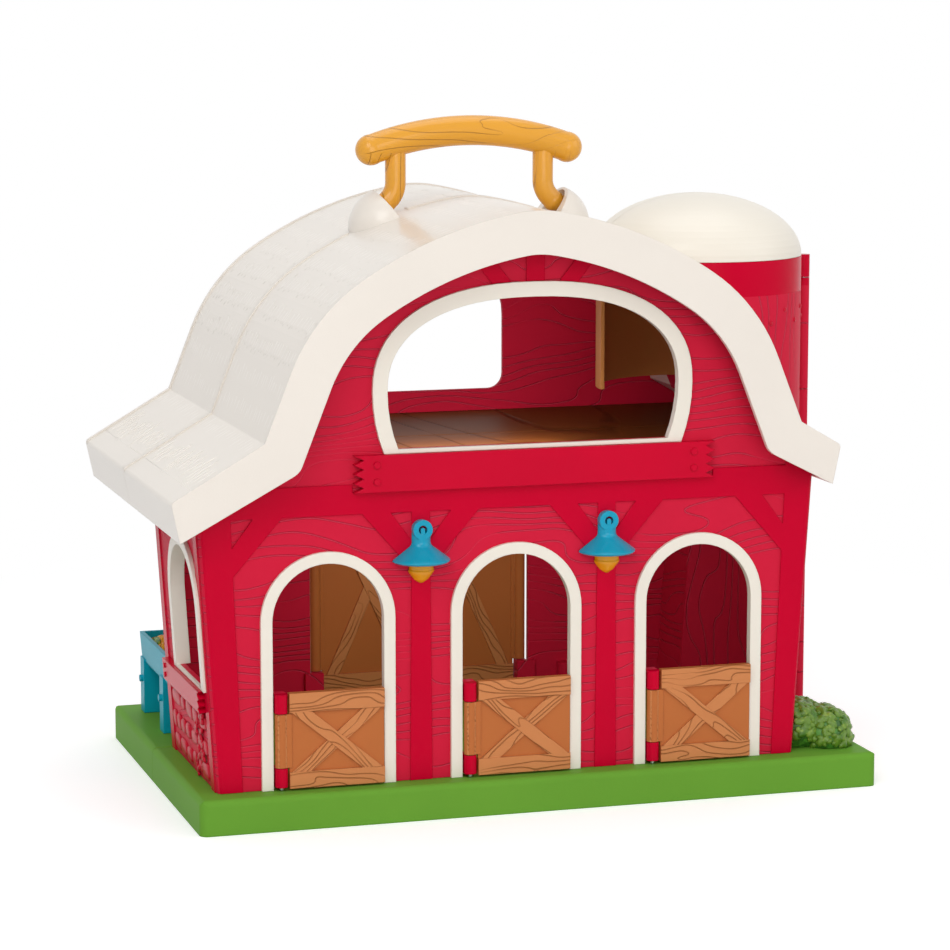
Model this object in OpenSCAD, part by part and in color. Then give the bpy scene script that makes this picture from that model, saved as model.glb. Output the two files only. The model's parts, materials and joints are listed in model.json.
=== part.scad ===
// Toy barn that opens like a book: a front half and a back half hinged at the silo, with
// stall doors, barn doors and a carrying handle. +X runs along the front, the front faces -Y.
// The origin is on the underside of the base, in the seam between the halves.

/* [Base] */
// Length of the base along the front
base_len = 343; // [330:1:370]
// Depth of the base's front half, from the seam
base_front_d = 114.2; // [112:0.2:125]
// Depth of the base's back half, from the seam
base_back_d = 102.9; // [100:0.1:115]
// Height of the base
base_h = 17.1; // [15:0.1:22]
// Wall of the base tray
base_wall = 2.4; // [1.8:0.1:3]
// Radius of the base's upright corners
base_corner_r = 4; // [3:0.5:8]
// Radius of the base's upper edges
base_edge_r = 3; // [2:0.5:5]
// Radius of the upper edges along the seam
base_seam_r = 1.2; // [0.8:0.1:2]

/* [Walls] */
// Thickness of every red wall
wall_t = 2.6; // [2:0.1:3]
// Foot of the left front wall, from the base's left end
left_inset = 11; // [9:0.5:14]
// Foot of the right front wall, from the base's right end
right_inset = 40.5; // [36:0.5:44]
// Outward lean of the front half's side walls, in degrees
flare = 3.6; // [2.5:0.1:4.5]
// Strip of base in front of the front wall
front_setback = 12.6; // [10:0.2:15]
// Strip of base behind the back wall
back_setback = 12.9; // [10:0.1:15]
// Foot of the back half's left wall, from the base's left end
back_left_inset = 43; // [40:0.5:46]
// How far posts, beam and braces stand proud of the wall
timber_t = 0.8; // [0.5:0.1:1.4]
// Width of the corner posts at the foot
corner_post_w = 12; // [9:0.5:14]
// Width of the lamp posts at the top
lamp_post_w = 9; // [8:0.5:11]
// Widening of the lamp posts towards the foot
lamp_post_taper = 2; // [1:0.1:3]
// Underside of the tie beam, above the base
beam_z = 130.6; // [126:0.2:134]
// Height of the tie beam
beam_h = 14.3; // [10:0.1:16]
// Height on a post that its brace covers
brace_h = 14.2; // [10:0.2:18]

/* [Roof] */
// Ridge height above the base
ridge_h = 272.5; // [268:0.1:280]
// Left valley of the roof, inside the foot of the left wall
left_valley_in = 21; // [18:0.1:25]
// Right valley of the roof, inside the foot of the right wall
right_valley_in = 4.8; // [4:0.1:8]
// Radius of the rounded ridge
ridge_r = 60; // [45:1:70]
// Radius of the upper slopes
roof_r = 200; // [190:1:215]
// Slope at which the knee starts, in degrees
knee_from = 33.4; // [30:0.2:36]
// Radius of the knees
knee_r = 89; // [80:1:95]
// Steepness of the lower slopes, in degrees
lower_slope = 68.5; // [66:0.5:70]
// Straight length of the lower slopes
lower_len = 34.5; // [32:0.5:38]
// Steepness of the eaves, in degrees
eave_slope = 30.2; // [28:0.2:32]
// Length of the left eave
left_eave = 51.8; // [49:0.2:56]
// Length of the right eave
right_eave = 24.6; // [23:0.2:27]
// Depth of an eave's end face
eave_drop = 18.8; // [15:0.2:20]
// Inward lean of an eave's end face, in degrees
eave_lean = 12; // [8:1:15]
// Radius of the eaves' upper corners
eave_round = 2.5; // [1.5:0.1:3]
// Thickness of the roof skin
roof_t = 3; // [2:0.1:4]
// Depth of the fascia at the front and the back
fascia_h = 20; // [16:0.5:22]
// Radius in the fascia's inner corners
fascia_fillet = 9; // [6:0.5:12]
// Overhang of the roof past the front wall
front_overhang = 16.5; // [15:0.1:20]
// Overhang of the roof past the back wall
back_overhang = 11.8; // [10:0.1:13]
// Height of the raised rims along the seam and the fascias
bead_h = 0.7; // [0.4:0.1:1]
// Width of those rims
bead_w = 2.6; // [1.5:0.1:4]

/* [Front doors] */
// Left door frame, from the foot of the left wall
door_left_in = 21.1; // [19:0.1:24]
// Right door frame, from the foot of the right wall
door_right_in = 18.2; // [16:0.1:21]
// Outer width of a door frame
frame_w = 65.6; // [62:0.2:68]
// Width of the frame's face
frame_band = 5.6; // [4.5:0.1:6]
// Top of a door frame above the base
frame_h = 113.6; // [108:0.2:118]
// How far the frames stand proud of the wall
frame_t = 2; // [1.5:0.1:2.5]
// Lip of a frame inside its opening
frame_lip = 1.6; // [1.2:0.1:2]
// Height of a stall door
door_h = 46; // [42:0.5:50]
// Thickness of a stall door over its rails
door_t = 3.9; // [3:0.1:4.5]
// Height of a door's lower rail
door_rail = 8; // [6:0.2:9]
// Extra height of its upper rail
door_rail_more = 1.2; // [0:0.2:2]
// Width of the door's crossed braces
door_brace = 6.2; // [5:0.2:7]
// Foot of a brace, from the leaf's sides
door_brace_in = 6; // [4:0.2:8]
// Depth of the panels behind the rails
door_relief = 1.2; // [0.8:0.1:1.6]
// Gap under a door
door_floor_gap = 1.1; // [0.8:0.1:2]
// Gap between a door and its frame on the closing side
door_side_gap = 0.5; // [0.3:0.1:1]

/* [Back doors] */
// Middle of the pair of barn doors, left of the ridge
back_door_off = 0.4; // [0:0.1:2]
// Width of the opening for the pair
back_door_w = 122; // [118:0.5:126]
// Height of the barn doors
back_door_h = 118; // [114:0.5:122]

/* [Hinges] */
// Radius of the door knuckles
door_knuckle_r = 3.1; // [2.8:0.1:3.4]
// Radius of the door pins
door_pin_r = 1.1; // [0.9:0.05:1.3]
// Length of a door's end knuckles
door_knuckle_l = 9.2; // [8:0.2:10]
// Barn hinge axis, past the silo's wall
hinge_out = 5.6; // [5.4:0.1:7]
// Radius of the barn hinge knuckles
hinge_r = 3.3; // [3:0.1:3.8]
// Radius of the barn hinge pin
hinge_pin_r = 1.5; // [1.2:0.1:1.8]

/* [Loft window] */
// Middle of the loft window, right of the ridge
win_off = 2.2; // [0:0.2:4]
// Half of the window frame's greatest width
win_hw = 80; // [76:0.5:83]
// Height above the base at which the window is widest
win_mid = 188; // [184:0.5:191]
// Top of the window frame above the base
win_top = 238.6; // [234:0.2:241]
// Foot of the window frame above the base
win_foot = 158.9; // [156:0.2:161]
// Width of the window frame's face
win_band = 7.2; // [6:0.1:8]
// Squareness of the window's shoulders
win_power = 2.35; // [2:0.05:2.8]
// Left end of the sill plank, from the window's middle
plank_left = 89.6; // [86:0.2:93]
// Right end of the sill plank, from the window's middle
plank_right = 91.4; // [88:0.2:94]
// Height of the sill plank
plank_h = 17.8; // [15:0.2:20]
// Thickness of the sill plank
plank_t = 4; // [3:0.1:5]
// Depth of the plank's torn ends
plank_tooth = 4.6; // [3:0.2:6]

/* [Side window] */
// Side window frame, behind the front wall's face
side_win_in = 5.6; // [5:0.1:8]
// Outer width of the side window frame
side_win_w = 68; // [64:0.5:70]
// Top of the side window frame above the base
side_win_top = 119; // [112:0.5:122]
// Top of the side sill plank above the base
side_sill_z = 48; // [44:0.5:52]
// Height of the side sill plank
side_plank_h = 10.5; // [9:0.5:13]

/* [Silo] */
// Middle of the silo, inside the foot of the right wall
silo_in = 15; // [13:0.5:18]
// Outer radius of the silo
silo_r = 54; // [51:0.5:56]
// Height of the silo wall above the base
silo_h = 240.4; // [236:0.2:246]
// Rise of the dome
dome_h = 31.5; // [28:0.5:35]
// Thickness of the dome
dome_t = 2.2; // [1.8:0.1:3]
// Foot of the silo's liner above the loft floor
liner_foot = 20; // [16:0.5:24]

/* [Handle] */
// Middle of the handle, right of the ridge
handle_in = 1; // [0:0.1:3]
// Distance from the middle to each boss
boss_off = 43; // [41:0.5:45]
// Radius of the bosses
boss_r = 19.5; // [19:0.1:21]
// Height of the boss centres above the base
boss_z = 257.9; // [256:0.1:259]
// Tilt of a boss's inner face, in degrees
boss_tilt = 36; // [32:1:40]
// Distance of that face from the boss's middle
boss_cut = 4.8; // [4.4:0.1:5.2]
// Radius of the sockets in the bosses
socket_r = 11; // [10.5:0.1:11.5]
// Depth of the sockets
socket_deep = 4.5; // [4.3:0.1:4.8]
// Radius of the handle's legs
leg_r = 5.2; // [4.8:0.1:5.3]
// Distance from the middle to each leg
leg_off = 38.6; // [37:0.2:39.4]
// Height of the handle's pivot above the boss centres
pivot_rise = 11.5; // [11.3:0.1:12]
// Thickness of the grip
grip_t = 15; // [12:0.2:16]
// Length of the grip
grip_len = 117.6; // [112:0.2:122]
// Top of the grip above the base
grip_top = 312.9; // [308:0.2:318]
// Radius of the grip's arch
grip_arc_r = 150; // [140:5:180]
// Radius of the handle's elbows
elbow_r = 12; // [11:0.5:12]
// Straight run between an elbow and its foot
elbow_run = 3; // [2.5:0.1:3.2]
// Radius of the handle's trunnions
trunnion_r = 2.5; // [2:0.1:3]
// Length of the handle's trunnions
trunnion_l = 10.4; // [9.6:0.1:10.8]

/* [Loft and trough] */
// Top of the loft floor above the base
loft_z = 152; // [148:0.2:154]
// Thickness of the loft floor
loft_t = 2.5; // [2:0.1:3]
// Height of the trough's rim above the base
trough_z = 42.4; // [38:0.2:46]
// Depth of the trough
trough_h = 18.5; // [15:0.5:22]
// Width of the trough
trough_w = 27; // [24:0.5:30]
// Length of the trough
trough_len = 76; // [68:0.5:80]
// Radius of the bush's largest ball
bush_r = 14; // [12:0.5:15]

/* [Lamps] */
// Radius of the lamp shades
shade_r = 14.2; // [13.6:0.2:15]
// Rim of the shades below the lamps' top
shade_drop = 19.4; // [18:0.2:21]
// Radius of the lamps' neck and hanging eye
neck_r = 4.8; // [4.2:0.1:5.2]
// Top of the lamps above the base
lamp_top = 127; // [124:0.2:131]
// Radius of the bulbs
bulb_r = 6.4; // [6:0.1:7]

/* [Fits] */
// Gap between the two halves at the seam
seam_gap = 0.3; // [0.2:0.05:0.5]
// Gap between pieces that are fixed to each other
fit = 0.12; // [0.05:0.01:0.2]
// Radial gap of a turning pin
run_fit = 0.06; // [0.03:0.01:0.09]
// Radial gap of a pin that stays put
pin_fit = 0.03; // [0.02:0.01:0.05]
// Radius of the screws
screw_r = 1.5; // [1.2:0.1:1.7]

/* [Hidden] */
$fn = 64;

big = 1000;
half_gap = seam_gap / 2;
arc_steps = 20;

// Planes and lines that the pieces share
front_y = -(base_front_d - front_setback);
back_y = base_back_d - back_setback;
left_foot = left_inset - base_len / 2;
right_foot = base_len / 2 - right_inset;
front_w = right_foot - left_foot;
valley_x = (front_w - left_valley_in - right_valley_in) / 2;
ridge_x = left_foot + left_valley_in + valley_x;
silo_x = right_foot - silo_in;
win_x = ridge_x + win_off;
handle_x = ridge_x + handle_in;
back_door_x = ridge_x - back_door_off;
side_win_y = front_y + side_win_in + side_win_w / 2;
back_left_x = back_left_inset - base_len / 2;
flare_tan = tan(flare);
ridge_z = base_h + ridge_h;
silo_top = base_h + silo_h;
hinge_x = silo_x + silo_r + hinge_out;
silo_in_r = silo_r - wall_t;

function dir(a) = [cos(a), sin(a)];
function arc_pts(c, r, a0, a1, n) = [for (i = [0:n]) c + r * dir(a0 + (a1 - a0) * i / n)];
function rev(p) = [for (i = [len(p) - 1:-1:0]) p[i]];
function tail(p) = [for (i = [1:len(p) - 1]) p[i]];
function flip_x(p) = [for (q = p) [-q.x, q.y]];
function shift(p, x, y) = [for (q = p) q + [x, y]];
function left_x(z) = left_foot - (z - base_h) * flare_tan;
function right_x(z) = right_foot + (z - base_h) * flare_tan;

// Arc of radius r that rounds corner b of the path a, b, c
function corner(a, b, c, r, n) =
    let (u = (a - b) / norm(a - b), v = (c - b) / norm(c - b),
         half = acos(u * v) / 2,
         m = b + (u + v) / norm(u + v) * r / sin(half),
         p = b + u * r / tan(half) - m,
         q = b + v * r / tan(half) - m,
         a0 = atan2(p.y, p.x), turn = atan2(p.x * q.y - p.y * q.x, p * q))
    arc_pts(m, r, a0, a0 + turn, n);

// Outline of the roof, half by half and measured from the ridge line. depth is the distance
// inwards from the outer surface.
roof_shift = (roof_r - knee_r) * sin(knee_from) + knee_r * sin(lower_slope)
    + lower_len * cos(lower_slope) - valley_x;
ridge_c = [0, ridge_z - ridge_r];
roof_c = ridge_c + [roof_shift, -sqrt((roof_r - ridge_r) ^ 2 - roof_shift * roof_shift)];
ridge_turn = atan2(ridge_c.y - roof_c.y, ridge_c.x - roof_c.x);
knee_c = roof_c + (roof_r - knee_r) * dir(90 + knee_from);
lower_n = -dir(90 + lower_slope);
eave_n = -dir(90 + eave_slope);
valley_m = (lower_n + eave_n) / (1 + lower_n * eave_n);
valley_0 = knee_c + knee_r * dir(90 + lower_slope) - lower_len * dir(lower_slope);
eave_v = [sin(eave_lean), -cos(eave_lean)];
function valley(depth) = valley_0 + depth * valley_m;
function eave_tip(length) = valley_0 - length * dir(eave_slope);
function eave_end(length, depth) = eave_tip(length) + eave_v * depth / (eave_n * eave_v);
function roof_upper(depth) = concat(
    arc_pts(ridge_c, ridge_r - depth, 90, ridge_turn, 4),
    tail(arc_pts(roof_c, roof_r - depth, ridge_turn, 90 + knee_from, arc_steps)),
    tail(arc_pts(knee_c, knee_r - depth, 90 + knee_from, 90 + lower_slope, 10)));
// The eave's corner is round on the outer surface and square inside
function roof_half(depth, length) =
    let (v = valley(depth), tip = eave_end(length, depth))
    concat(roof_upper(depth), [v],
        depth > 0 ? [tip] : corner(v, tip, tip + eave_v * eave_drop, eave_round, 5));
// Reach of the roof's inner side from the ridge line at height z
function roof_in_x(z, depth) =
    let (v = valley(depth))
    z < v.y ? v.x - (v.y - z) / tan(eave_slope) : v.x + (z - v.y) / tan(lower_slope);
function place_left(p) = shift(p, ridge_x, 0);
function place_right(p) = shift(flip_x(p), ridge_x, 0);
function roof_line(depth) = concat(
    place_left(rev(roof_half(depth, left_eave))), tail(place_right(roof_half(depth, right_eave))));
function fascia_half(length) =
    let (up = roof_upper(fascia_h), tip = eave_tip(length) + eave_v * eave_drop)
    concat(up, corner(up[len(up) - 1], valley(fascia_h), tip, fascia_fillet, 8), [tip]);
fascia_line = concat(place_left(rev(fascia_half(left_eave))), tail(place_right(fascia_half(right_eave))));

// Height at which a leaning or upright wall face meets the skin's underside at the eave
seat = roof_t + fit;
function eave_meet(foot_gap, lean) =
    let (v = valley(seat), te = tan(eave_slope))
    (v.y - (v.x + foot_gap) * te + base_h * lean * te) / (1 + lean * te);
left_top_z = eave_meet(ridge_x - left_foot, flare_tan);
right_top_z = eave_meet(right_foot - ridge_x, flare_tan);
gable_line = concat(
    place_left(rev(concat(roof_upper(seat), [valley(seat)]))),
    tail(place_right(concat(roof_upper(seat), [valley(seat)]))));

// Extrudes an outline drawn in X and Z from y0 to y1
module xz(y0, y1) { translate([0, y1, 0]) rotate([90, 0, 0]) linear_extrude(y1 - y0) children(); }
// Extrudes an outline drawn in Y and Z from x0 to x1
module yz(x0, x1) { translate([x0, 0, 0]) rotate([90, 0, 90]) linear_extrude(x1 - x0) children(); }
// Extrudes an outline drawn in X and Y from z0 to z1
module xy(z0, z1) { translate([0, 0, z0]) linear_extrude(z1 - z0) children(); }
module upright(x, y, z0, z1, r) { translate([x, y, z0]) cylinder(h = z1 - z0, r = r); }
module block(x0, x1, y0, y1, z0, z1) { translate([x0, y0, z0]) cube([x1 - x0, y1 - y0, z1 - z0]); }

// Doorways
door_pitch = (front_w - door_left_in - door_right_in - frame_w) / 2;
door_x = left_foot + door_left_in + frame_w / 2 + door_pitch;
door_xs = [door_x - door_pitch, door_x, door_x + door_pitch];
lamp_shift = 0.8;
lamp_xs = [door_x - door_pitch / 2 - lamp_shift, door_x + door_pitch / 2 - lamp_shift];
frame_y0 = front_y - frame_t;
frame_y1 = front_y + wall_t - fit;
door_clear_r = frame_w / 2 - frame_band;
door_axis_dx = -door_clear_r + door_knuckle_r + 0.7;
door_axis_y = front_y - frame_t + 0.2;
function arch(hw, top, foot) = concat([[hw, foot]], arc_pts([0, top - hw], hw, 0, 180, 28), [[-hw, foot]]);

// Base
function rounded_box(x0, x1, y0, y1, r) = concat(
    arc_pts([x1 - r, y1 - r], r, 0, 90, 6), arc_pts([x0 + r, y1 - r], r, 90, 180, 6),
    arc_pts([x0 + r, y0 + r], r, 180, 270, 6), arc_pts([x1 - r, y0 + r], r, 270, 360, 6));
// A slab outline with its upper corners rounded, by r0 at a0 and r1 at a1
function crowned(a0, a1, h, r0, r1) = concat([[a0, 0], [a1, 0]],
    arc_pts([a1 - r1, h - r1], r1, 0, 90, 6), arc_pts([a0 + r0, h - r0], r0, 90, 180, 6));

screw_post_r = 4.2;
screw_head_r = 3;
screw_head_h = 1.8;
boss_foot = 5;
base_top_t = 3;
front_screw_xs = [left_foot + 10, lamp_xs[0], lamp_xs[1], right_foot - 8];
front_screw_y = front_y + wall_t + screw_post_r - 0.8;
back_screw_xs = [back_left_x + 16, back_door_x + back_door_w / 2 + 20];
back_screw_y = back_y - wall_t - screw_post_r + 0.8;
post_h = 12;

module base_half(y0, y1, seam_low, screw_xs, screw_y) {
    // The corners at the seam stay square, so the slab is drawn past the seam and cut there
    x0 = -base_len / 2;
    x1 = base_len / 2;
    ya = seam_low ? y0 - 2 * base_corner_r : y0;
    yb = seam_low ? y1 : y1 + 2 * base_corner_r;
    cells = 4;
    cell = (base_len - base_wall) / cells;
    rows = 2;
    row = (y1 - y0 - base_wall) / rows;
    difference() {
        intersection() {
            xy(0, base_h) polygon(rounded_box(x0, x1, ya, yb, base_corner_r));
            xz(ya, yb) polygon(crowned(x0, x1, base_h, base_edge_r, base_edge_r));
            yz(x0, x1) polygon(crowned(y0, y1, base_h,
                seam_low ? base_seam_r : base_edge_r, seam_low ? base_edge_r : base_seam_r));
        }
        for (i = [0:cells - 1]) for (j = [0:rows - 1])
            block(x0 + base_wall + i * cell, x0 + (i + 1) * cell, y0 + base_wall + j * row,
                y0 + (j + 1) * row, -1, base_h - base_top_t);
    }
    for (x = screw_xs) difference() {
        upright(x, screw_y, boss_foot, base_h - base_wall, screw_post_r);
        upright(x, screw_y, 0, base_h, screw_r + 0.2);
    }
}

module screw_holes(screw_xs, screw_y) {
    for (x = screw_xs) upright(x, screw_y, -1, base_h + 1, screw_r + 0.2);
}

module base_front() {
    color("#679e3c") difference() {
        base_half(-base_front_d, -half_gap, false, front_screw_xs, front_screw_y);
        screw_holes(front_screw_xs, front_screw_y);
    }
}

module base_back() {
    color("#679e3c") difference() {
        base_half(half_gap, base_back_d, true, back_screw_xs, back_screw_y);
        screw_holes(back_screw_xs, back_screw_y);
    }
}

module screws(xs, y) {
    for (x = xs) {
        upright(x, y, boss_foot - screw_head_h - fit, boss_foot - fit, screw_head_r);
        upright(x, y, boss_foot - fit - 0.5, base_h + post_h - 3, screw_r);
    }
}
module base_screws_front() { color("silver") screws(front_screw_xs, front_screw_y); }
module base_screws_back() { color("silver") screws(back_screw_xs, back_screw_y); }

// Receiving posts for the screws, inside the walls
module screw_posts(xs, y) {
    for (x = xs) difference() {
        upright(x, y, base_h + fit, base_h + post_h, screw_post_r);
        upright(x, y, 0, base_h + post_h - 2, screw_r + pin_fit);
    }
}

// Front wall
wall_foot = base_h + fit;
module front_outline() {
    polygon(concat([[left_x(wall_foot), wall_foot], [left_x(left_top_z), left_top_z]], gable_line,
        [[right_x(right_top_z), right_top_z], [right_x(wall_foot), wall_foot]]));
}

// Loft window outline, inset from the frame's outer edge
function win_line(inset) =
    let (hw = win_hw - inset, mid = base_h + win_mid, rise = win_top - win_mid - inset,
         drop = win_mid - win_foot - min(inset, 2), low = asin(drop / hw))
    shift(concat(
        [for (i = [0:36]) let (a = 180 * i / 36, e = 2 / win_power)
            [hw * sign(cos(a)) * pow(abs(cos(a)), e), rise * pow(sin(a), e)]],
        [for (i = [1:4]) hw * dir(180 + low * i / 4)],
        [for (i = [4:-1:1]) hw * dir(-low * i / 4)]), win_x, mid);

frame_hole = frame_band - frame_lip - fit;
module door_hole(x, inset) {
    translate([x, 0]) polygon(arch(frame_w / 2 - inset, base_h + frame_h - inset, 0));
}

// Brace between a post's edge and the beam. side is +1 to the right of the post.
module brace(x, side) {
    z1 = base_h + beam_z + 0.5;
    z0 = z1 - 2 * brace_h;
    run = (z1 - z0 - brace_h) * 0.75;
    polygon([[x - side * 3, z0 - 4], [x - side * 3, z0 + brace_h - 4], [x + side * run, z1],
        [x + side * (run + brace_h), z1], [x, z0]]);
}

king_w = 9.1;
strut_in = 10.5;
strut_w = 10;
strut_run = 12;
strut_h = 15;
module timbers() {
    beam_0 = base_h + beam_z;
    post_lean = 0.55;
    polygon([[left_x(wall_foot), wall_foot], [left_x(left_top_z), left_top_z],
        [left_x(left_top_z) + corner_post_w + 4, left_top_z + 2],
        [left_x(wall_foot) + corner_post_w, wall_foot]]);
    polygon([[right_x(wall_foot), wall_foot], [right_x(right_top_z), right_top_z],
        [right_x(right_top_z) - corner_post_w - 3, right_top_z + 2],
        [right_x(wall_foot) - corner_post_w + post_lean, wall_foot]]);
    intersection() {
        translate([left_foot - 5, beam_0]) square([front_w + 12, beam_h]);
        front_outline();
    }
    for (x = lamp_xs) {
        hw = lamp_post_w / 2;
        foot_hw = hw + lamp_post_taper / 2;
        polygon([[x - foot_hw, wall_foot], [x - hw, beam_0 + 1], [x + hw, beam_0 + 1], [x + foot_hw, wall_foot]]);
        for (s = [-1, 1]) brace(x + s * lamp_post_w / 2, s);
    }
    brace(left_x(beam_0 - brace_h) + corner_post_w + 3, 1);
    brace(right_x(beam_0 - brace_h) - corner_post_w - 3, -1);
    // King post and struts between the loft window and the ridge
    window_top = base_h + win_top;
    translate([win_x + 0.6, window_top - 2]) {
        translate([-king_w / 2, 0]) square([king_w, ridge_h - win_top]);
        for (s = [-1, 1]) polygon([[s * strut_in, 0], [s * (strut_in + strut_w), 0],
            [s * (strut_in + strut_w + strut_run), strut_h], [s * (strut_in + strut_run), strut_h]]);
    }
}

// Sliver taken off a corner post to round its outer edge
skim = 0.06;
module post_round() {
    r = wall_t;
    y = front_y - timber_t;
    difference() {
        block(-1, r, y - 1, y + r, -1, side_h);
        upright(r, y + r, -2, side_h + 1, r + skim);
    }
}

knuckle_web = 2.6;
module door_lug(x, y, z0, z1, side, back) {
    // side is -1 where the wall lies to the left of the pin; back is the wall's inner face
    s = back > y ? 1 : -1;
    w0 = min(x, x + side * (door_knuckle_r + 4));
    w1 = max(x, x + side * (door_knuckle_r + 4));
    upright(x, y, z0, z1, door_knuckle_r);
    block(x - door_knuckle_r + 0.1, x + door_knuckle_r - 0.1, min(y, back + s * knuckle_web),
        max(y, back + s * knuckle_web), z0, z1);
    block(min(w0, x - door_knuckle_r + 0.1), max(w1, x + door_knuckle_r - 0.1),
        min(back, back + s * knuckle_web), max(back, back + s * knuckle_web), z0, z1);
}

door_foot = base_h + door_floor_gap;
knuckle_low = [door_foot + 0.7, door_foot + 0.7 + door_knuckle_l];
knuckle_high = [door_foot + door_h - door_knuckle_l - 0.4, door_foot + door_h - 0.4];
pin_foot = base_h + 0.3;

module front_wall() {
    in_y = front_y + wall_t;
    color("#c8263c") difference() {
        union() {
            difference() {
                union() {
                    xz(front_y, in_y) front_outline();
                    xz(front_y - timber_t, front_y + 0.1) intersection() { timbers(); front_outline(); }
                }
                xz(front_y - 1, in_y + 1) {
                    for (x = door_xs) door_hole(x, frame_hole);
                    polygon(win_line(win_band - frame_lip - fit));
                }
                // Rebates in the timbers for the frames and the plank
                xz(front_y - 2, front_y) {
                    for (x = door_xs) door_hole(x, -fit);
                    polygon(win_line(-fit));
                    plank_outline(fit);
                }
            }
            for (x = door_xs) for (k = [knuckle_low, knuckle_high])
                door_lug(x + door_axis_dx, door_axis_y, k[0], k[1], -1, in_y);
            screw_posts(front_screw_xs, front_screw_y);
            block(left_foot + 20, right_foot - 20, in_y - 0.1, in_y + 3,
                base_h + loft_z - loft_t - 3, base_h + loft_z - loft_t - fit);
        }
        leaning_left() post_round();
        leaning_right() mirror([1, 0, 0]) post_round();
        for (x = door_xs) upright(x + door_axis_dx, door_axis_y, 0, knuckle_high[1] - 1.5, door_pin_r + pin_fit);
    }
}

module door_pins() {
    color("silver") for (x = door_xs)
        upright(x + door_axis_dx, door_axis_y, pin_foot, knuckle_high[1] - 2, door_pin_r);
}

// Door frames: a face in front of the wall and a lip inside the opening
module door_frame(x) {
    color("#f0eadf") {
        xz(frame_y0, front_y) difference() { door_hole_above(x, 0); door_hole(x, frame_band); }
        xz(front_y - 0.1, frame_y1) difference() { door_hole_above(x, frame_band - frame_lip); door_hole(x, frame_band); }
    }
}
module door_hole_above(x, inset) {
    intersection() {
        door_hole(x, inset);
        translate([x - big / 2, wall_foot]) square([big, big]);
    }
}
module door_frame_left() { door_frame(door_xs[0]); }
module door_frame_middle() { door_frame(door_xs[1]); }
module door_frame_right() { door_frame(door_xs[2]); }

module loft_window_frame() {
    color("#f0eadf") {
        xz(frame_y0, front_y) difference() { polygon(win_line(0)); polygon(win_line(win_band)); }
        xz(front_y - 0.1, frame_y1) difference() {
            polygon(win_line(win_band - frame_lip));
            polygon(win_line(win_band));
        }
    }
}

// Sill plank under the loft window, with torn ends and two pegs at each end
plank_z1 = base_h + win_foot;
teeth = 4;
module plank_outline(grow) {
    z0 = plank_z1 - plank_h - grow;
    x0 = win_x - plank_left - grow;
    translate([x0, z0]) square([plank_left + plank_right + 2 * grow, plank_h + grow]);
}
function torn(x, z0, z1, deep, n) = [for (i = [0:2 * n]) [x + (i % 2 == 0 ? 0 : deep), z0 + (z1 - z0) * i / (2 * n)]];
module loft_sill_plank() {
    z0 = plank_z1 - plank_h;
    x0 = win_x - plank_left;
    x1 = win_x + plank_right;
    y0 = front_y - plank_t;
    color("#c00028") {
        xz(y0, front_y - fit) polygon(concat(rev(torn(x0, z0, plank_z1 - fit, plank_tooth, teeth)),
            torn(x1, z0, plank_z1 - fit, -plank_tooth, teeth)));
        for (x = [x0 + 11, x1 - 11]) for (z = [z0 + 5, plank_z1 - 4.8])
            translate([x, y0 + 0.2, z]) rotate([90, 0, 0]) cylinder(h = 1, r = 1.7);
    }
}

// Everything under the roof, down to the ground
module under_roof(depth) {
    polygon(concat([[-base_len / 2 - 20, 0]], roof_line(depth), [[base_len / 2, 0]]));
}

// Side walls of the front half lean outwards with their feet on the base
module leaning_left() { translate([left_foot, 0, wall_foot]) rotate([0, -flare, 0]) children(); }
module leaning_right() { translate([right_foot, 0, wall_foot]) rotate([0, flare, 0]) children(); }
side_y0 = front_y + wall_t + fit;
side_h = 165;
strip_w = 8;

module side_hole(inset) {
    hw = side_win_w / 2 - inset;
    foot = side_sill_z + min(inset, 1);
    translate([side_win_y, 0]) polygon(arch(hw, side_win_top - inset, foot));
}

module side_wall_left_front() {
    color("#c8263c") intersection() {
        leaning_left() difference() {
            union() {
                block(0, wall_t, side_y0, -half_gap, 0, side_h);
                block(-timber_t, 0.1, -half_gap - strip_w, -half_gap, 0, side_h);
                block(-timber_t, 0.1, side_y0, side_y0 + strip_w, 0, side_h);
                block(-timber_t, 0.1, side_y0, -half_gap, left_top_z - wall_foot - strip_w, side_h);
            }
            yz(-1, wall_t + 1) side_hole(frame_hole);
            yz(-2, 0) side_hole(-fit);
        }
        xz(side_y0 - 1, 0) under_roof(seat);
    }
}

module side_window_frame() {
    color("#f0eadf") leaning_left() {
        yz(-frame_t, 0) difference() { side_hole(0); side_hole(frame_band); }
        yz(-0.1, wall_t + 2.5) difference() { side_hole(frame_band - frame_lip); side_hole(frame_band); }
    }
}

module side_sill_plank() {
    y0 = side_win_y - side_win_w / 2 + 4;
    y1 = -half_gap - strip_w - fit;
    z1 = side_sill_z - fit;
    z0 = z1 - side_plank_h;
    color("#c00028") leaning_left() {
        yz(-plank_t, -fit) polygon(concat(rev(torn(y0, z0, z1, 3.4, 3)), [[y1, z0], [y1, z1]]));
        for (z = [z0 + 3, z1 - 3])
            translate([0.2 - plank_t, y1 - 5, z]) rotate([0, -90, 0]) cylinder(h = 0.9, r = 1.3);
    }
}

module silo_clear(grow) { upright(silo_x, 0, -1, ridge_z + 50, silo_r + grow); }

module side_wall_right_front() {
    color("#c8263c") difference() {
        intersection() {
            leaning_right() {
                block(-wall_t, 0, side_y0, -half_gap, 0, side_h);
                block(-0.1, timber_t, side_y0, side_y0 + strip_w, 0, side_h);
            }
            xz(side_y0 - 1, 0) under_roof(seat);
        }
        silo_clear(fit);
    }
}

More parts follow.
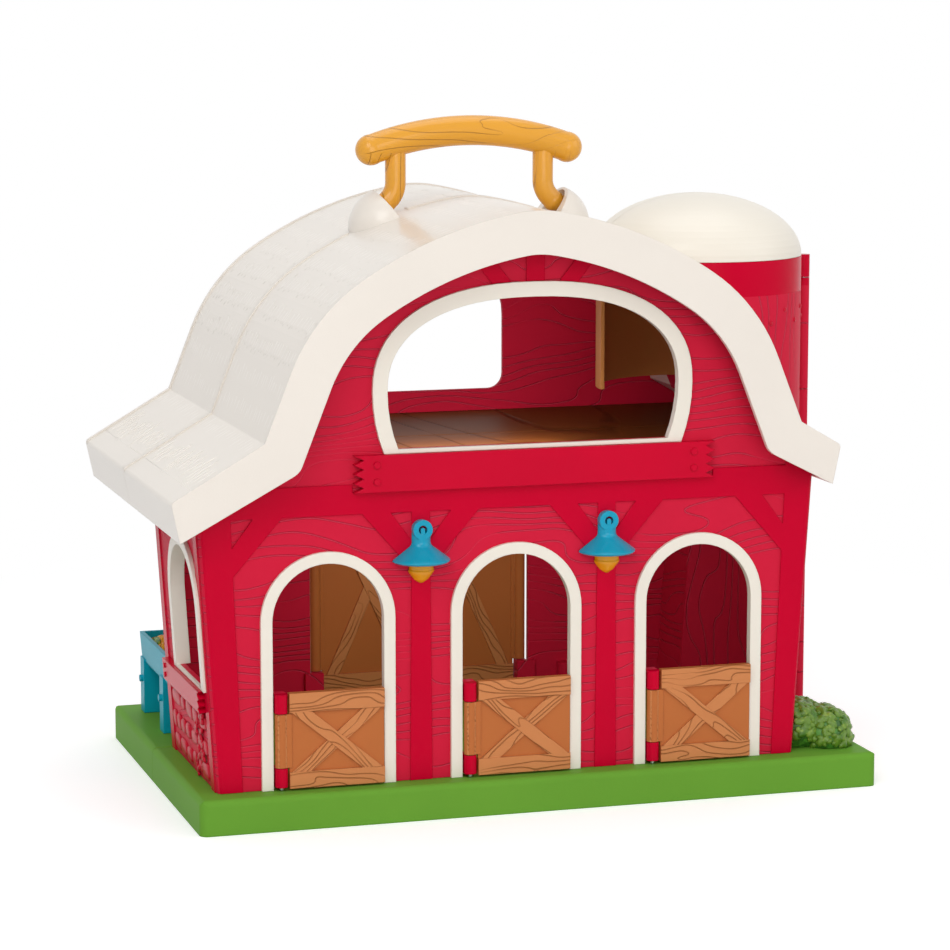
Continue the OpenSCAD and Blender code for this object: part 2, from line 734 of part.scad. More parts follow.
// Back half: the left wall stands in from the eave and leaves a porch over the trough
wall_in_y = back_y - wall_t;
module side_wall_left_back() {
    color("#c8263c") intersection() {
        union() {
            block(back_left_x, back_left_x + wall_t, half_gap, wall_in_y - fit, wall_foot, ridge_z);
            // Return panel that closes the front half's corner
            xz(half_gap, half_gap + wall_t) polygon([[left_foot + 0.6, wall_foot], [left_x(left_top_z), left_top_z],
                [left_x(left_top_z), ridge_z], [back_left_x + 1, ridge_z], [back_left_x + 1, wall_foot]]);
        }
        xz(0, back_y) under_roof(seat);
    }
}

module side_wall_right_back() {
    color("#c8263c") difference() {
        intersection() {
            leaning_right() {
                block(-wall_t, 0, half_gap, wall_in_y - fit, 0, side_h);
                block(-0.1, timber_t, wall_in_y - fit - strip_w, wall_in_y - fit, 0, side_h);
            }
            xz(0, back_y) under_roof(seat);
        }
        silo_clear(fit);
    }
}

// Back wall with the barn doors' opening and the loft opening above it
back_win_hw = 46;
back_win_foot = base_h + 163.4;
back_win_top = base_h + 243;
module back_window() {
    rise = 40;
    translate([ridge_x, 0]) polygon(concat(
        [for (i = [0:24]) let (a = 180 * i / 24) [back_win_hw * cos(a), back_win_top - rise + rise * sin(a)]],
        [[-back_win_hw, back_win_foot + 8]],
        arc_pts([8 - back_win_hw, back_win_foot + 8], 8, 180, 270, 6),
        arc_pts([back_win_hw - 8, back_win_foot + 8], 8, 270, 360, 6)));
}
module back_outline() {
    intersection() {
        polygon([[back_left_x, wall_foot], [back_left_x, ridge_z], [right_x(ridge_z), ridge_z],
            [right_x(wall_foot), wall_foot]]);
        under_roof(seat);
    }
}
back_door_hw = back_door_w / 2;
module back_timbers() {
    translate([back_left_x, base_h + beam_z]) square([base_len, beam_h]);
    translate([back_left_x, wall_foot]) square([corner_post_w, ridge_h]);
    polygon([[right_x(wall_foot) - corner_post_w, wall_foot], [right_x(wall_foot), wall_foot],
        [right_x(right_top_z) + 4, right_top_z + 4], [right_x(right_top_z) - corner_post_w, right_top_z + 4]]);
    for (s = [-1, 1]) translate([back_door_x + s * (back_door_hw + 4) - 4, wall_foot]) square([8, beam_z + 1]);
}
back_axis_y = back_y + frame_t - 0.2;
back_axis_xs = [for (s = [-1, 1]) back_door_x + s * (back_door_hw - door_knuckle_r - 0.7)];
back_knuckle_l = 1.3 * door_knuckle_l;
back_leaf_z = [door_foot, base_h + back_door_h - 1];
back_knuckles = [[back_leaf_z[0] + 0.7, back_leaf_z[0] + 0.7 + back_knuckle_l],
    [back_leaf_z[1] - 0.4 - back_knuckle_l, back_leaf_z[1] - 0.4]];

module back_wall() {
    color("#c8263c") difference() {
        union() {
            difference() {
                union() {
                    xz(wall_in_y, back_y) back_outline();
                    xz(back_y - 0.1, back_y + timber_t) intersection() { back_timbers(); back_outline(); }
                }
                xz(wall_in_y - 1, back_y + 2) {
                    translate([back_door_x - back_door_hw, 0]) square([back_door_w, base_h + back_door_h]);
                    back_window();
                }
            }
            for (i = [0, 1]) for (k = back_knuckles)
                door_lug(back_axis_xs[i], back_axis_y, k[0], k[1], 2 * i - 1, wall_in_y);
            screw_posts(back_screw_xs, back_screw_y);
            block(back_left_x + wall_t + 1, right_foot - wall_t, wall_in_y - 3, wall_in_y + 0.1,
                loft_foot - 3, loft_foot - fit);
        }
        for (x = back_axis_xs) upright(x, back_axis_y, 0, back_knuckles[1][1] - 1.5, door_pin_r + pin_fit);
    }
}

module back_door_pins() {
    color("silver") for (x = back_axis_xs)
        upright(x, back_axis_y, pin_foot, back_knuckles[1][1] - 2, door_pin_r);
}

// Doors: rails, a hinge stile and crossed braces over a thinner panel, with the barrel that
// turns on the pin. side is +1 where the leaf lies to the right of its pin.
function strip_pts(a, b, w) =
    let (u = (b - a) / norm(b - a), n = [-u.y, u.x] * w / 2) [a + n, b + n, b - n, a - n];
barrel_gap = 0.35;
stile = 1.2;

module leaf_face(p0, p1, rail, over) {
    // One diagonal runs over the other
    inner0 = p0 + [0, rail];
    inner1 = p1 - [0, rail + door_rail_more];
    x0 = inner0.x + door_brace_in;
    x1 = inner1.x - door_brace_in;
    a = over ? [x0, inner1.y] : [x0, inner0.y];
    b = over ? [x1, inner0.y] : [x1, inner1.y];
    more = (b - a) / norm(b - a) * door_brace;
    intersection() {
        translate(inner0) square(inner1 - inner0);
        polygon(strip_pts(a - more, b + more, door_brace));
    }
}

module leaf(ax, ay, side, width, zs, knuckles, y0, y1, rail) {
    near = door_knuckle_r + 0.5;
    p0 = [near, zs[0]];
    p1 = [width, zs[1]];
    barrel_z0 = knuckles[0][1] + barrel_gap;
    barrel_z1 = knuckles[1][0] - barrel_gap;
    translate([ax, 0, 0]) mirror([side < 0 ? 1 : 0, 0, 0]) difference() {
        union() {
            xz(y0 + door_relief, y1 - door_relief) translate(p0) square(p1 - p0);
            xz(y0, y1) {
                translate(p0) square([p1.x - p0.x, rail]);
                translate([p0.x, p1.y - rail - door_rail_more]) square([p1.x - p0.x, rail + door_rail_more]);
                leaf_face(p0, p1, rail, true);
            }
            xz(y0 + 0.3, y1 - 0.3) leaf_face(p0, p1, rail, false);
            xz(y0 + 0.5, y1 - 0.5) translate([0, barrel_z0]) square([near + stile, barrel_z1 - barrel_z0]);
            upright(0, ay, barrel_z0, barrel_z1, door_knuckle_r);
        }
        upright(0, ay, 0, ridge_z, door_pin_r + run_fit);
    }
}

leaf_y0 = door_axis_y - 2.6;
module stall_door(x) {
    ax = x + door_axis_dx;
    color("#c8784a") leaf(ax, door_axis_y, 1, door_clear_r - door_side_gap - door_axis_dx,
        [door_foot, door_foot + door_h], [knuckle_low, knuckle_high], leaf_y0, leaf_y0 + door_t, door_rail);
}
module door_left() { stall_door(door_xs[0]); }
module door_middle() { stall_door(door_xs[1]); }
module door_right() { stall_door(door_xs[2]); }

back_leaf_y1 = back_axis_y + 2.6;
module barn_door(i) {
    reach = abs(back_door_x - back_axis_xs[i]) - door_side_gap / 2;
    color("#c8784a") leaf(back_axis_xs[i], back_axis_y, 1 - 2 * i, reach, back_leaf_z, back_knuckles,
        back_leaf_y1 - door_t, back_leaf_y1, 1.3 * door_rail);
}
module back_door_left() { barn_door(0); }
module back_door_right() { barn_door(1); }

// Roof halves: a skin, a fascia, turned-down eave ends and a bead along the seam
roof_y0 = front_y - front_overhang;
roof_y1 = back_y + back_overhang;
boss_mid_z = base_h + boss_z;
pivot_z = boss_mid_z + pivot_rise;
over_gap = 0.8;

module eave_lip(length, right) {
    tip = eave_tip(length);
    inner = roof_t * dir(eave_slope);
    start = tip + eave_v * eave_round;
    p = [start, tip + eave_v * eave_drop, tip + eave_v * eave_drop + inner, start + inner];
    polygon(right ? place_right(p) : place_left(p));
}
module roof_band(d0, d1) { polygon(concat(roof_line(d0), rev(roof_line(d1)))); }

module roof_shell(y0, y1, bead_y, fascia_y, rim_y) {
    xz(y0, y1) {
        roof_band(0, roof_t);
        eave_lip(left_eave, false);
        eave_lip(right_eave, true);
    }
    xz(fascia_y, fascia_y + roof_t) polygon(concat(roof_line(0), rev(fascia_line)));
    xz(rim_y, rim_y + bead_w) roof_band(-bead_h, 0.8 * roof_t);
    difference() {
        xz(bead_y, bead_y + bead_w) roof_band(-bead_h, 0.8 * roof_t);
        for (side = [-1, 1]) {
            near = handle_x + side * (boss_off - boss_r / 2);
            far = handle_x + side * (boss_off + boss_r + 1);
            block(min(near, far), max(near, far), -bead_w - 1, bead_w + 1, boss_mid_z - boss_r, ridge_z + 20);
        }
    }
}

// Hollow that the silo and its dome take out of the roof
module silo_body(grow) {
    translate([silo_x, 0, 0]) rotate_extrude() polygon(concat([[0, 0]],
        [[silo_r + grow, 0]], dome_arc(silo_r + grow, dome_h + grow, silo_top)));
}
function dome_arc(r, h, z) = [for (i = [0:16]) let (a = 90 * i / 16) [r * cos(a), z + h * sin(a)]];

// Boss frame: z runs along the slanted face's normal, x along its slope
module at_boss(side) {
    translate([handle_x + side * boss_off, 0, boss_mid_z]) rotate([0, side * (boss_tilt - 90), 0]) children();
}
socket_off = sqrt(boss_r * boss_r - boss_cut * boss_cut) - 1.4 - socket_r;
module over_roof(depth) {
    polygon(concat([[-base_len, ridge_z + 40]], roof_line(depth), [[base_len, ridge_z + 40]]));
}
boss_deep = 9;
module bosses() {
    for (side = [-1, 1]) intersection() {
        difference() {
            translate([handle_x + side * boss_off, 0, boss_mid_z]) sphere(r = boss_r);
            at_boss(side) translate([-boss_r - 1, -boss_r - 1, boss_cut])
                cube([2 * boss_r + 2, 2 * boss_r + 2, boss_r]);
        }
        union() {
            // The rear half reaches over the back roof without touching it
            xz(-boss_r - 1, -half_gap) over_roof(boss_deep);
            xz(-half_gap - 1, boss_r + 1) over_roof(-over_gap);
        }
    }
}

module roof_front() {
    color("#e9e3dd") difference() {
        union() {
            roof_shell(roof_y0, -half_gap, -half_gap - bead_w, roof_y0, roof_y0);
            bosses();
        }
        silo_body(0.3);
        for (side = [-1, 1]) {
            at_boss(side) translate([side * socket_off, 0, boss_cut - socket_deep])
                cylinder(h = socket_deep, r = socket_r);
            translate([handle_x, 0, pivot_z]) rotate([0, side * 90, 0])
                translate([0, 0, foot_off]) cylinder(h = trunnion_l + 0.5, r = trunnion_r + run_fit);
        }
    }
}
module roof_back() {
    color("#e9e3dd") difference() {
        roof_shell(half_gap, roof_y1, half_gap, roof_y1 - roof_t, roof_y1 - bead_w);
        silo_body(0.3);
    }
}

// Carrying handle: an arched grip on two legs whose feet turn in the bosses
foot_off = leg_off + elbow_r * (1 - cos(45)) + elbow_run * cos(45);
elbow_z = pivot_z + (elbow_r + elbow_run) * sin(45);
swell = 0.25;
grip_r = grip_t / 2;
grip_z = base_h + grip_top - grip_r - grip_arc_r;
grip_turn = asin((grip_len / 2 - grip_r) / grip_arc_r);
// Part of a ring about Z, from angle a0 to a1
module ring_arc(ring_r, r, a0, a1) {
    reach = 2 * (ring_r + r);
    mid = (a0 + a1) / 2;
    intersection() {
        rotate_extrude() translate([ring_r, 0]) circle(r = r);
        xy(-r - 1, r + 1) polygon([[0, 0], reach * dir(a0), reach * dir(mid), reach * dir(a1)]);
    }
}
module handle() {
    leg_top = grip_z + sqrt(grip_arc_r * grip_arc_r - leg_off * leg_off);
    color("#e0a01e") translate([handle_x, 0, 0]) {
        translate([0, 0, grip_z]) rotate([90, 0, 0])
            ring_arc(grip_arc_r, grip_r, 90 - grip_turn, 90 + grip_turn);
        for (side = [-1, 1]) {
            translate([side * (grip_len / 2 - grip_r), 0, grip_z + grip_arc_r * cos(grip_turn)])
                sphere(r = grip_r + swell);
            upright(side * leg_off, 0, elbow_z, leg_top, leg_r);
            translate([side * (leg_off + elbow_r), 0, elbow_z]) mirror([side < 0 ? 1 : 0, 0, 0])
                rotate([90, 0, 0]) ring_arc(elbow_r, leg_r, 180, 225);
            translate([side * foot_off, 0, pivot_z]) {
                rotate([0, -side * 45, 0]) cylinder(h = elbow_run, r = leg_r);
                sphere(r = leg_r + swell);
                rotate([0, side * 90, 0]) cylinder(h = trunnion_l, r = trunnion_r);
            }
        }
    }
}

// Silo: a tube open to the barn on its left, split at the seam, under a shallow dome
module room() {
    d = roof_t + 1;
    v = valley(d);
    up = roof_upper(d);
    wall_x = right_x(right_top_z) - wall_t - 1;
    wall_z = v.y - (wall_x - ridge_x + v.x) * tan(eave_slope);
    polygon(concat([[-base_len, wall_foot - 5]], place_left([v]), place_left(rev(up)), tail(place_right(up)),
        place_right([v]), [[wall_x, wall_z], [right_x(wall_foot) - wall_t - 1, wall_foot - 5]]));
}
hinge_breaks = [1, 17.8, 34, 53.4, 168.6, 227, 239];
hinge_ribs = [[169, 186.5], [210.6, 226.6]];
module hinge_web(y, z0, z1, x1) {
    thick = hinge_r * 0.85;
    block(silo_x + silo_r - wall_t + 0.6, x1, min(y * half_gap, y * thick), max(y * half_gap, y * thick), z0, z1);
}
module half_space(front) {
    if (front) block(-base_len, base_len, -base_len, -half_gap, -1, ridge_z + 50);
    else block(-base_len, base_len, half_gap, base_len, -1, ridge_z + 50);
}
module silo_half(front) {
    y = front ? -1 : 1;
    difference() {
        union() {
            intersection() {
                difference() {
                    upright(silo_x, 0, wall_foot, silo_top, silo_r);
                    upright(silo_x, 0, 0, silo_top + 1, silo_in_r);
                }
                half_space(front);
            }
            for (i = [front ? 1 : 0:2:len(hinge_breaks) - 2]) {
                z0 = base_h + hinge_breaks[i] + barrel_gap / 2;
                z1 = base_h + hinge_breaks[i + 1] - barrel_gap / 2;
                upright(hinge_x, 0, z0, z1, hinge_r);
                hinge_web(y, z0, z1, hinge_x);
            }
            // Ribs beside the other half's knuckles, clear of the barrel
            if (front) for (k = hinge_ribs)
                hinge_web(y, base_h + k[0], base_h + k[1], hinge_x - hinge_r - barrel_gap);
        }
        xz(-silo_r - 1, silo_r + 1) room();
        upright(hinge_x, 0, 0, base_h + hinge_breaks[len(hinge_breaks) - 1] - 1.5,
            hinge_pin_r + (front ? pin_fit : run_fit));
    }
}
module silo_wall_front() { color("#c8263c") silo_half(true); }
module silo_wall_back() { color("#c8263c") silo_half(false); }
module barn_hinge_pin() {
    color("silver") upright(hinge_x, 0, base_h + 1.5, base_h + hinge_breaks[len(hinge_breaks) - 1] - 2, hinge_pin_r);
}

module dome(front) {
    rim = silo_in_r - fit;
    lip_t = 1.8;
    z = silo_top + fit;
    color("#f0eadf") difference() {
        intersection() {
            translate([silo_x, 0, 0]) rotate_extrude() polygon(concat(
                dome_arc(silo_r, dome_h, z), rev(dome_arc(rim - lip_t, dome_h - dome_t, z)),
                [[rim - lip_t, z - 3], [rim, z - 3], [rim, z]]));
            half_space(front);
        }
        xz(-silo_r - 1, silo_r + 1) room();
    }
}
module silo_dome_front() { dome(true); }
module silo_dome_back() { dome(false); }

liner_z = base_h + loft_z + liner_foot;
module silo_liner_back() {
    color("#d08a4a") difference() {
        upright(silo_x, 0, liner_z, silo_top - 4, silo_in_r - fit);
        upright(silo_x, 0, liner_z - 1, silo_top, silo_in_r - fit - 2);
        block(-base_len, base_len, -base_len, 2 * half_gap, 0, ridge_z);
    }
}

// Loft floors rest on ledges of the front and back walls
loft_top = base_h + loft_z;
loft_foot = loft_top - loft_t;
module loft_floor_front() {
    color("#6b3a1a") block(ridge_x + roof_in_x(loft_top, seat + 1), right_x(loft_foot) - wall_t - 1,
        front_y + wall_t + fit, -0.5, loft_foot, loft_top);
}
module loft_floor_back() {
    color("#6b3a1a") block(back_left_x + wall_t + fit, right_x(loft_foot) - wall_t - 1, 0.8, wall_in_y - fit, loft_foot, loft_top);
}

// Trough on two boards, filled with cobs
trough_x = back_left_x - 4.8 - trough_w / 2;
trough_y0 = 10;
trough_wall = 2;
trough_rim = base_h + trough_z;
function trough_pts(inset) =
    let (hw = trough_w / 2 - inset, hb = trough_w / 2 - 5 - inset, z0 = trough_rim - trough_h + inset)
    concat([[hw, trough_rim + (inset > 0 ? 1 : 0)]], arc_pts([hb - 4 + 2, z0 + 6], 6, 0, -90, 6),
        arc_pts([2 - hb, z0 + 6], 6, -90, -180, 6), [[-hw, trough_rim + (inset > 0 ? 1 : 0)]]);
board_ys = [trough_y0 + 18.9, trough_y0 + 68.5];
board_w = 9.2;
module trough() {
    hw = trough_w / 2;
    color("#0098b0") translate([trough_x, 0, 0]) {
        difference() {
            xz(trough_y0, trough_y0 + trough_len) polygon(trough_pts(0));
            xz(trough_y0 + trough_wall, trough_y0 + trough_len - trough_wall) polygon(trough_pts(trough_wall));
        }
        for (y = board_ys) difference() {
            union() {
                block(0.5 - hw, hw - 0.5, y, y + board_w, wall_foot, trough_rim - trough_h + 5);
                translate([0.6 - hw, y + board_w / 2, trough_rim - trough_h - 6]) rotate([0, -90, 0])
                    cylinder(h = 1.6, r = 1.8);
            }
            xz(trough_y0 + trough_wall, trough_y0 + trough_len - trough_wall) polygon(trough_pts(trough_wall));
        }
    }
}
module trough_feed() {
    deep = trough_wall + fit;
    color("#e0a01e") translate([trough_x, 0, 0])
        xz(trough_y0 + deep, trough_y0 + trough_len - deep) intersection() {
            polygon(trough_pts(deep));
            translate([0, trough_rim - 2.5 - trough_w]) circle(r = trough_w);
        }
}

// Lamps on the posts: a shade with its hanging eye in one piece, and a bulb
lamp_back = front_y - timber_t - fit;
lamp_z = base_h + lamp_top;
lamp_rim_t = 1.4;
lamp_axis_in = 1;
module lamp_shade(x) {
    eye_deep = 3.6;
    hole_r = 2.1;
    neck_low = shade_drop - 7;
    brow = corner([neck_r, 0], [neck_r, -neck_low], [shade_r, 0.6 - shade_drop], 3, 6);
    color("#0098b0") translate([x, lamp_back, lamp_z]) difference() {
        union() {
            intersection() {
                translate([0, lamp_axis_in, 0]) rotate_extrude() polygon(concat(
                    [[0, -shade_drop - lamp_rim_t], [shade_r - 1, -shade_drop - lamp_rim_t],
                    [shade_r, 0.8 - shade_drop - lamp_rim_t], [shade_r, -shade_drop], [shade_r - 0.6, 0.6 - shade_drop]],
                    rev(brow), [[neck_r, -neck_r], [0, -neck_r]]));
                block(-shade_r - 1, shade_r + 1, -shade_r, 0, -big, 0);
            }
            translate([0, 0, -neck_r]) rotate([90, 0, 0]) cylinder(h = eye_deep, r = neck_r);
        }
        // Eye with a stub inside, open all round it but at its foot
        translate([0, 0, -neck_r]) difference() {
            translate([0, 1, 0]) rotate([90, 0, 0]) cylinder(h = 2 * neck_r, r = hole_r);
            translate([0, 1, 0]) rotate([90, 0, 0]) cylinder(h = eye_deep + 1, r = hole_r / 2);
            block(-hole_r / 2, hole_r / 2, -eye_deep, 1, -hole_r - 1, 0);
        }
    }
}
module lamp_bulb(x) {
    top = lamp_z - shade_drop - lamp_rim_t - fit;
    long = 1.6 * bulb_r;
    color("#e8a020") intersection() {
        translate([x, lamp_back + lamp_axis_in, 0]) rotate_extrude() polygon([[0, top], [bulb_r - 0.2, top],
            [bulb_r - 0.2, top - 0.3 * long], [bulb_r + 0.2, top - 0.38 * long], [bulb_r - 0.5, top - 0.5 * long],
            [bulb_r * 0.55, top - 0.8 * long], [1.2, top - 0.96 * long], [0, top - long]]);
        block(x - 2 * bulb_r, x + 2 * bulb_r, lamp_back - 2 * bulb_r, lamp_back, 0, ridge_z);
    }
}
module lamp_shade_left() { lamp_shade(lamp_xs[0]); }
module lamp_shade_right() { lamp_shade(lamp_xs[1]); }
module lamp_bulb_left() { lamp_bulb(lamp_xs[0]); }
module lamp_bulb_right() { lamp_bulb(lamp_xs[1]); }

// Bush in the corner between the front wall and the silo
module bush() {
    cx = base_len / 2 - 1.36 * bush_r;
    cy = front_y + 1.57 * bush_r;
    // Each ball's place and radius, in radii of the largest ball
    balls = [[-0.86, -0.43, 0.64, 0.86], [0.14, -0.64, 0.36, 0.93], [-0.43, 0.5, 0.43, 1],
        [0.43, 0.43, 0.29, 0.86], [-0.79, 1.43, 0.43, 0.79], [0.21, 1.36, 0.21, 0.79]];
    color("#4e8a2a") difference() {
        union() for (b = balls * bush_r) translate([cx + b[0], cy + b[1], base_h + b[2]]) sphere(r = b[3]);
        block(-base_len, base_len, -base_len, base_len, 0, wall_foot);
        leaning_right() block(-60, timber_t + fit, -base_len, base_len, -5, 100);
        silo_clear(fit);
        block(base_len / 2 - 1.5, base_len, -base_len, base_len, 0, ridge_z);
    }
}

base_front();
front_wall();
side_wall_left_front();
side_wall_right_front();
roof_front();
door_frame_left();
door_frame_middle();
door_frame_right();
loft_window_frame();
loft_sill_plank();
side_window_frame();
side_sill_plank();
lamp_shade_left();
lamp_shade_right();
lamp_bulb_left();
lamp_bulb_right();
loft_floor_front();
silo_wall_front();
silo_dome_front();
bush();
door_pins();
base_screws_front();
barn_hinge_pin();
base_back();
back_wall();
side_wall_left_back();
side_wall_right_back();
roof_back();
loft_floor_back();
silo_wall_back();
silo_dome_back();
silo_liner_back();
trough();
trough_feed();
back_door_pins();
base_screws_back();
door_left();
door_middle();
door_right();
back_door_left();
back_door_right();
handle();
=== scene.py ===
"""Looks of a toy barn that opens on its silo hinge.

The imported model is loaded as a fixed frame. Each sub-assembly below dresses its CAD nodes and
adds the relief that a mould gives them: thatch, stonework, leaves, cobs, nail heads and grain.
"""

import json
import logging
import math
import random
from dataclasses import dataclass, field
from enum import Enum
from typing import Iterable, Mapping, Sequence

import bmesh
import bpy
from mathutils import Matrix, Vector
from mathutils.bvhtree import BVHTree

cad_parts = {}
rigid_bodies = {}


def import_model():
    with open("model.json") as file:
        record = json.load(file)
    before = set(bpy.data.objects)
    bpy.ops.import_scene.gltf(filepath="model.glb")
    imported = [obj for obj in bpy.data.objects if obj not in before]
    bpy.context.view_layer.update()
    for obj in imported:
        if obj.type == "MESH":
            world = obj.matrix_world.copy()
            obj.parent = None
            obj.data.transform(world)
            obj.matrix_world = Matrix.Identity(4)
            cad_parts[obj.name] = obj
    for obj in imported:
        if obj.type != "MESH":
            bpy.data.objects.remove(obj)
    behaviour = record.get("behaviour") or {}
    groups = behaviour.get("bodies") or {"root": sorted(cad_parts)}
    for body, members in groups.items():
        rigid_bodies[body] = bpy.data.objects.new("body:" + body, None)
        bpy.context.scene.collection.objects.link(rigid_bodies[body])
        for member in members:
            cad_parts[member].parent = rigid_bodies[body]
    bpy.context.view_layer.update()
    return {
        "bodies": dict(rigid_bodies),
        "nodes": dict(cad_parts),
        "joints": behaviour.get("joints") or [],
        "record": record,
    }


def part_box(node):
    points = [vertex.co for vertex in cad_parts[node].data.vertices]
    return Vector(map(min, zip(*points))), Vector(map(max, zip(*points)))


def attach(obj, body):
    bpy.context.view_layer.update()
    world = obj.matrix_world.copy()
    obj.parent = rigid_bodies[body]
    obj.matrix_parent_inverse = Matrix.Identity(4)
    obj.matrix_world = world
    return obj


MM = 0.001
LOG = logging.getLogger("toy_barn")
Socket = bpy.types.NodeSocket
Colour = tuple[float, float, float, float]
Paint = tuple[Socket, float | Socket, list[tuple[Socket, float]]]

# Socket numbers of the Mix and Random Value nodes, where inputs of several kinds share one name
TONE_A, TONE_B, TONE = 6, 7, 2
REAL_A, REAL_B = 2, 3

# Where the silo's axis stands in X and Y, and its outer radius
SILO_MM = (116.0, 0.0, 54.0)
# Lean of the side walls, and the foot of the left one in X and Z
FLARE_DEG = 3.6
LEFT_FOOT_MM = (-160.5, 17.1)

# Cream ABS is even and fairly shiny wherever it is used
CREAM = {"specular": 0.4, "tone_shift": 0.02}


def hex_rgba(code: str) -> Colour:
    """Turns an sRGB hex colour into the linear colour that shaders use.

    Args:
        code: six hex digits, without a hash sign.

    Returns:
        Linear red, green, blue and an alpha of 1.
    """
    parts = [int(code[i : i + 2], 16) / 255 for i in (0, 2, 4)]
    linear = [c / 12.92 if c <= 0.04045 else ((c + 0.055) / 1.055) ** 2.4 for c in parts]
    return linear[0], linear[1], linear[2], 1.0


class NodePen:
    """Writes one node tree. Every node in this file goes through add()."""

    def __init__(self, tree: bpy.types.NodeTree) -> None:
        """Starts from an empty tree."""
        self.tree = tree
        self.tree.nodes.clear()

    def add(self, kind: str, *values: object, out: str | int = 0,
            named: Mapping[str | int, object] | None = None, **settings: object) -> Socket:
        """Adds a node with its settings and links.

        Args:
            kind: the node's type, whose start "ShaderNode" may be left off.
            values: the first inputs in order, each a socket or a constant.
            out: the output to return.
            named: further inputs, by name or by number.
            settings: the node's own properties.

        Returns:
            The chosen output, or the first input of a node that has no output.
        """
        node = self.tree.nodes.new(kind if "Node" in kind else "ShaderNode" + kind)
        for key, value in settings.items():
            setattr(node, key, value)
        for key, value in [*enumerate(values), *(named or {}).items()]:
            if isinstance(value, Socket):
                self.tree.links.new(value, node.inputs[key])
            else:
                node.inputs[key].default_value = value
        return node.outputs[out] if len(node.outputs) else node.inputs[0]


@dataclass(frozen=True)
class HalfSpace:
    """Points with normal . p greater than distance, in metres."""

    normal: tuple[float, float, float]
    distance: float

    def share(self, pen: NodePen) -> Socket:
        """Gives 1 inside the half-space and 0 outside it."""
        place = pen.add("TexCoord", out="Object")
        reach = pen.add("VectorMath", place, self.normal, operation="DOT_PRODUCT", out="Value")
        return pen.add("Math", reach, self.distance, operation="GREATER_THAN")


@dataclass(frozen=True)
class MouldedPlastic:
    """Injection-moulded ABS: even colour, slight flow marks and a fine eroded mould texture.

    The eye reads it by soft broad highlights and by the light line along each rounded edge.
    """

    name: str
    colour: str
    roughness: float = 0.35
    specular: float = 0.5
    gloss_coat: float = 0.0
    grit_mm: float = 0.8
    grit_depth_mm: float = 0.02
    tone_shift: float = 0.06
    edge_mm: float = 0.7
    coat_roughness: float = 0.07
    flow_mm: float = 50.0
    flow_band: tuple[float, float] = (0.35, 0.7)

    def material(self) -> bpy.types.Material:
        """Builds the material.

        Returns:
            A new procedural material.
        """
        made = bpy.data.materials.new(self.name)
        made.use_nodes = True
        pen = NodePen(made.node_tree)
        colour, roughness, reliefs = self.paint(pen)
        normal = pen.add("Bevel", self.edge_mm * MM, samples=4)
        place = pen.add("TexCoord", out="Object")
        grit = pen.add("TexNoise", place, named={"Scale": 1 / (self.grit_mm * MM), "Detail": 1.0})
        for height, depth_mm in [(grit, self.grit_depth_mm), *reliefs]:
            normal = pen.add("Bump", named={
                "Strength": 1.0, "Distance": depth_mm * MM, "Height": height, "Normal": normal})
        shader = pen.add("BsdfPrincipled", named={
            "Base Color": colour, "Roughness": roughness, "Specular IOR Level": self.specular,
            "Coat Weight": self.gloss_coat, "Coat Roughness": self.coat_roughness, "Normal": normal})
        pen.add("OutputMaterial", shader)
        return made

    def paint(self, pen: NodePen) -> Paint:
        """Lays the colour.

        Args:
            pen: the material's node writer.

        Returns:
            The colour, the roughness, and reliefs with their depths in millimetres.
        """
        return self.board(pen, self.colour), self.roughness, []

    def board(self, pen: NodePen, colour: str) -> Socket:
        """Gives a colour with the faint flow marks of the plastic.

        Args:
            pen: the material's node writer.
            colour: the plastic's hex colour.

        Returns:
            The drifting colour.
        """
        fresh = hex_rgba(colour)
        dull = *(c * (1.0 - self.tone_shift) for c in fresh[:3]), 1.0
        place = pen.add("TexCoord", out="Object")
        flow = pen.add("TexNoise", place, named={"Scale": 1 / (self.flow_mm * MM), "Detail": 3.0})
        share = pen.add("MapRange", flow, *self.flow_band, 0.0, 1.0)
        return pen.add("Mix", share, named={TONE_A: fresh, TONE_B: dull}, data_type="RGBA", out=TONE)


class GrainRun(Enum):
    """The direction that moulded wood grain runs in."""

    ALONG_X = "along X"
    ALONG_Y = "along Y"
    UP_THE_SILO = "up the silo"
    DOWN_THE_HANDLE = "along the grip and down the legs"


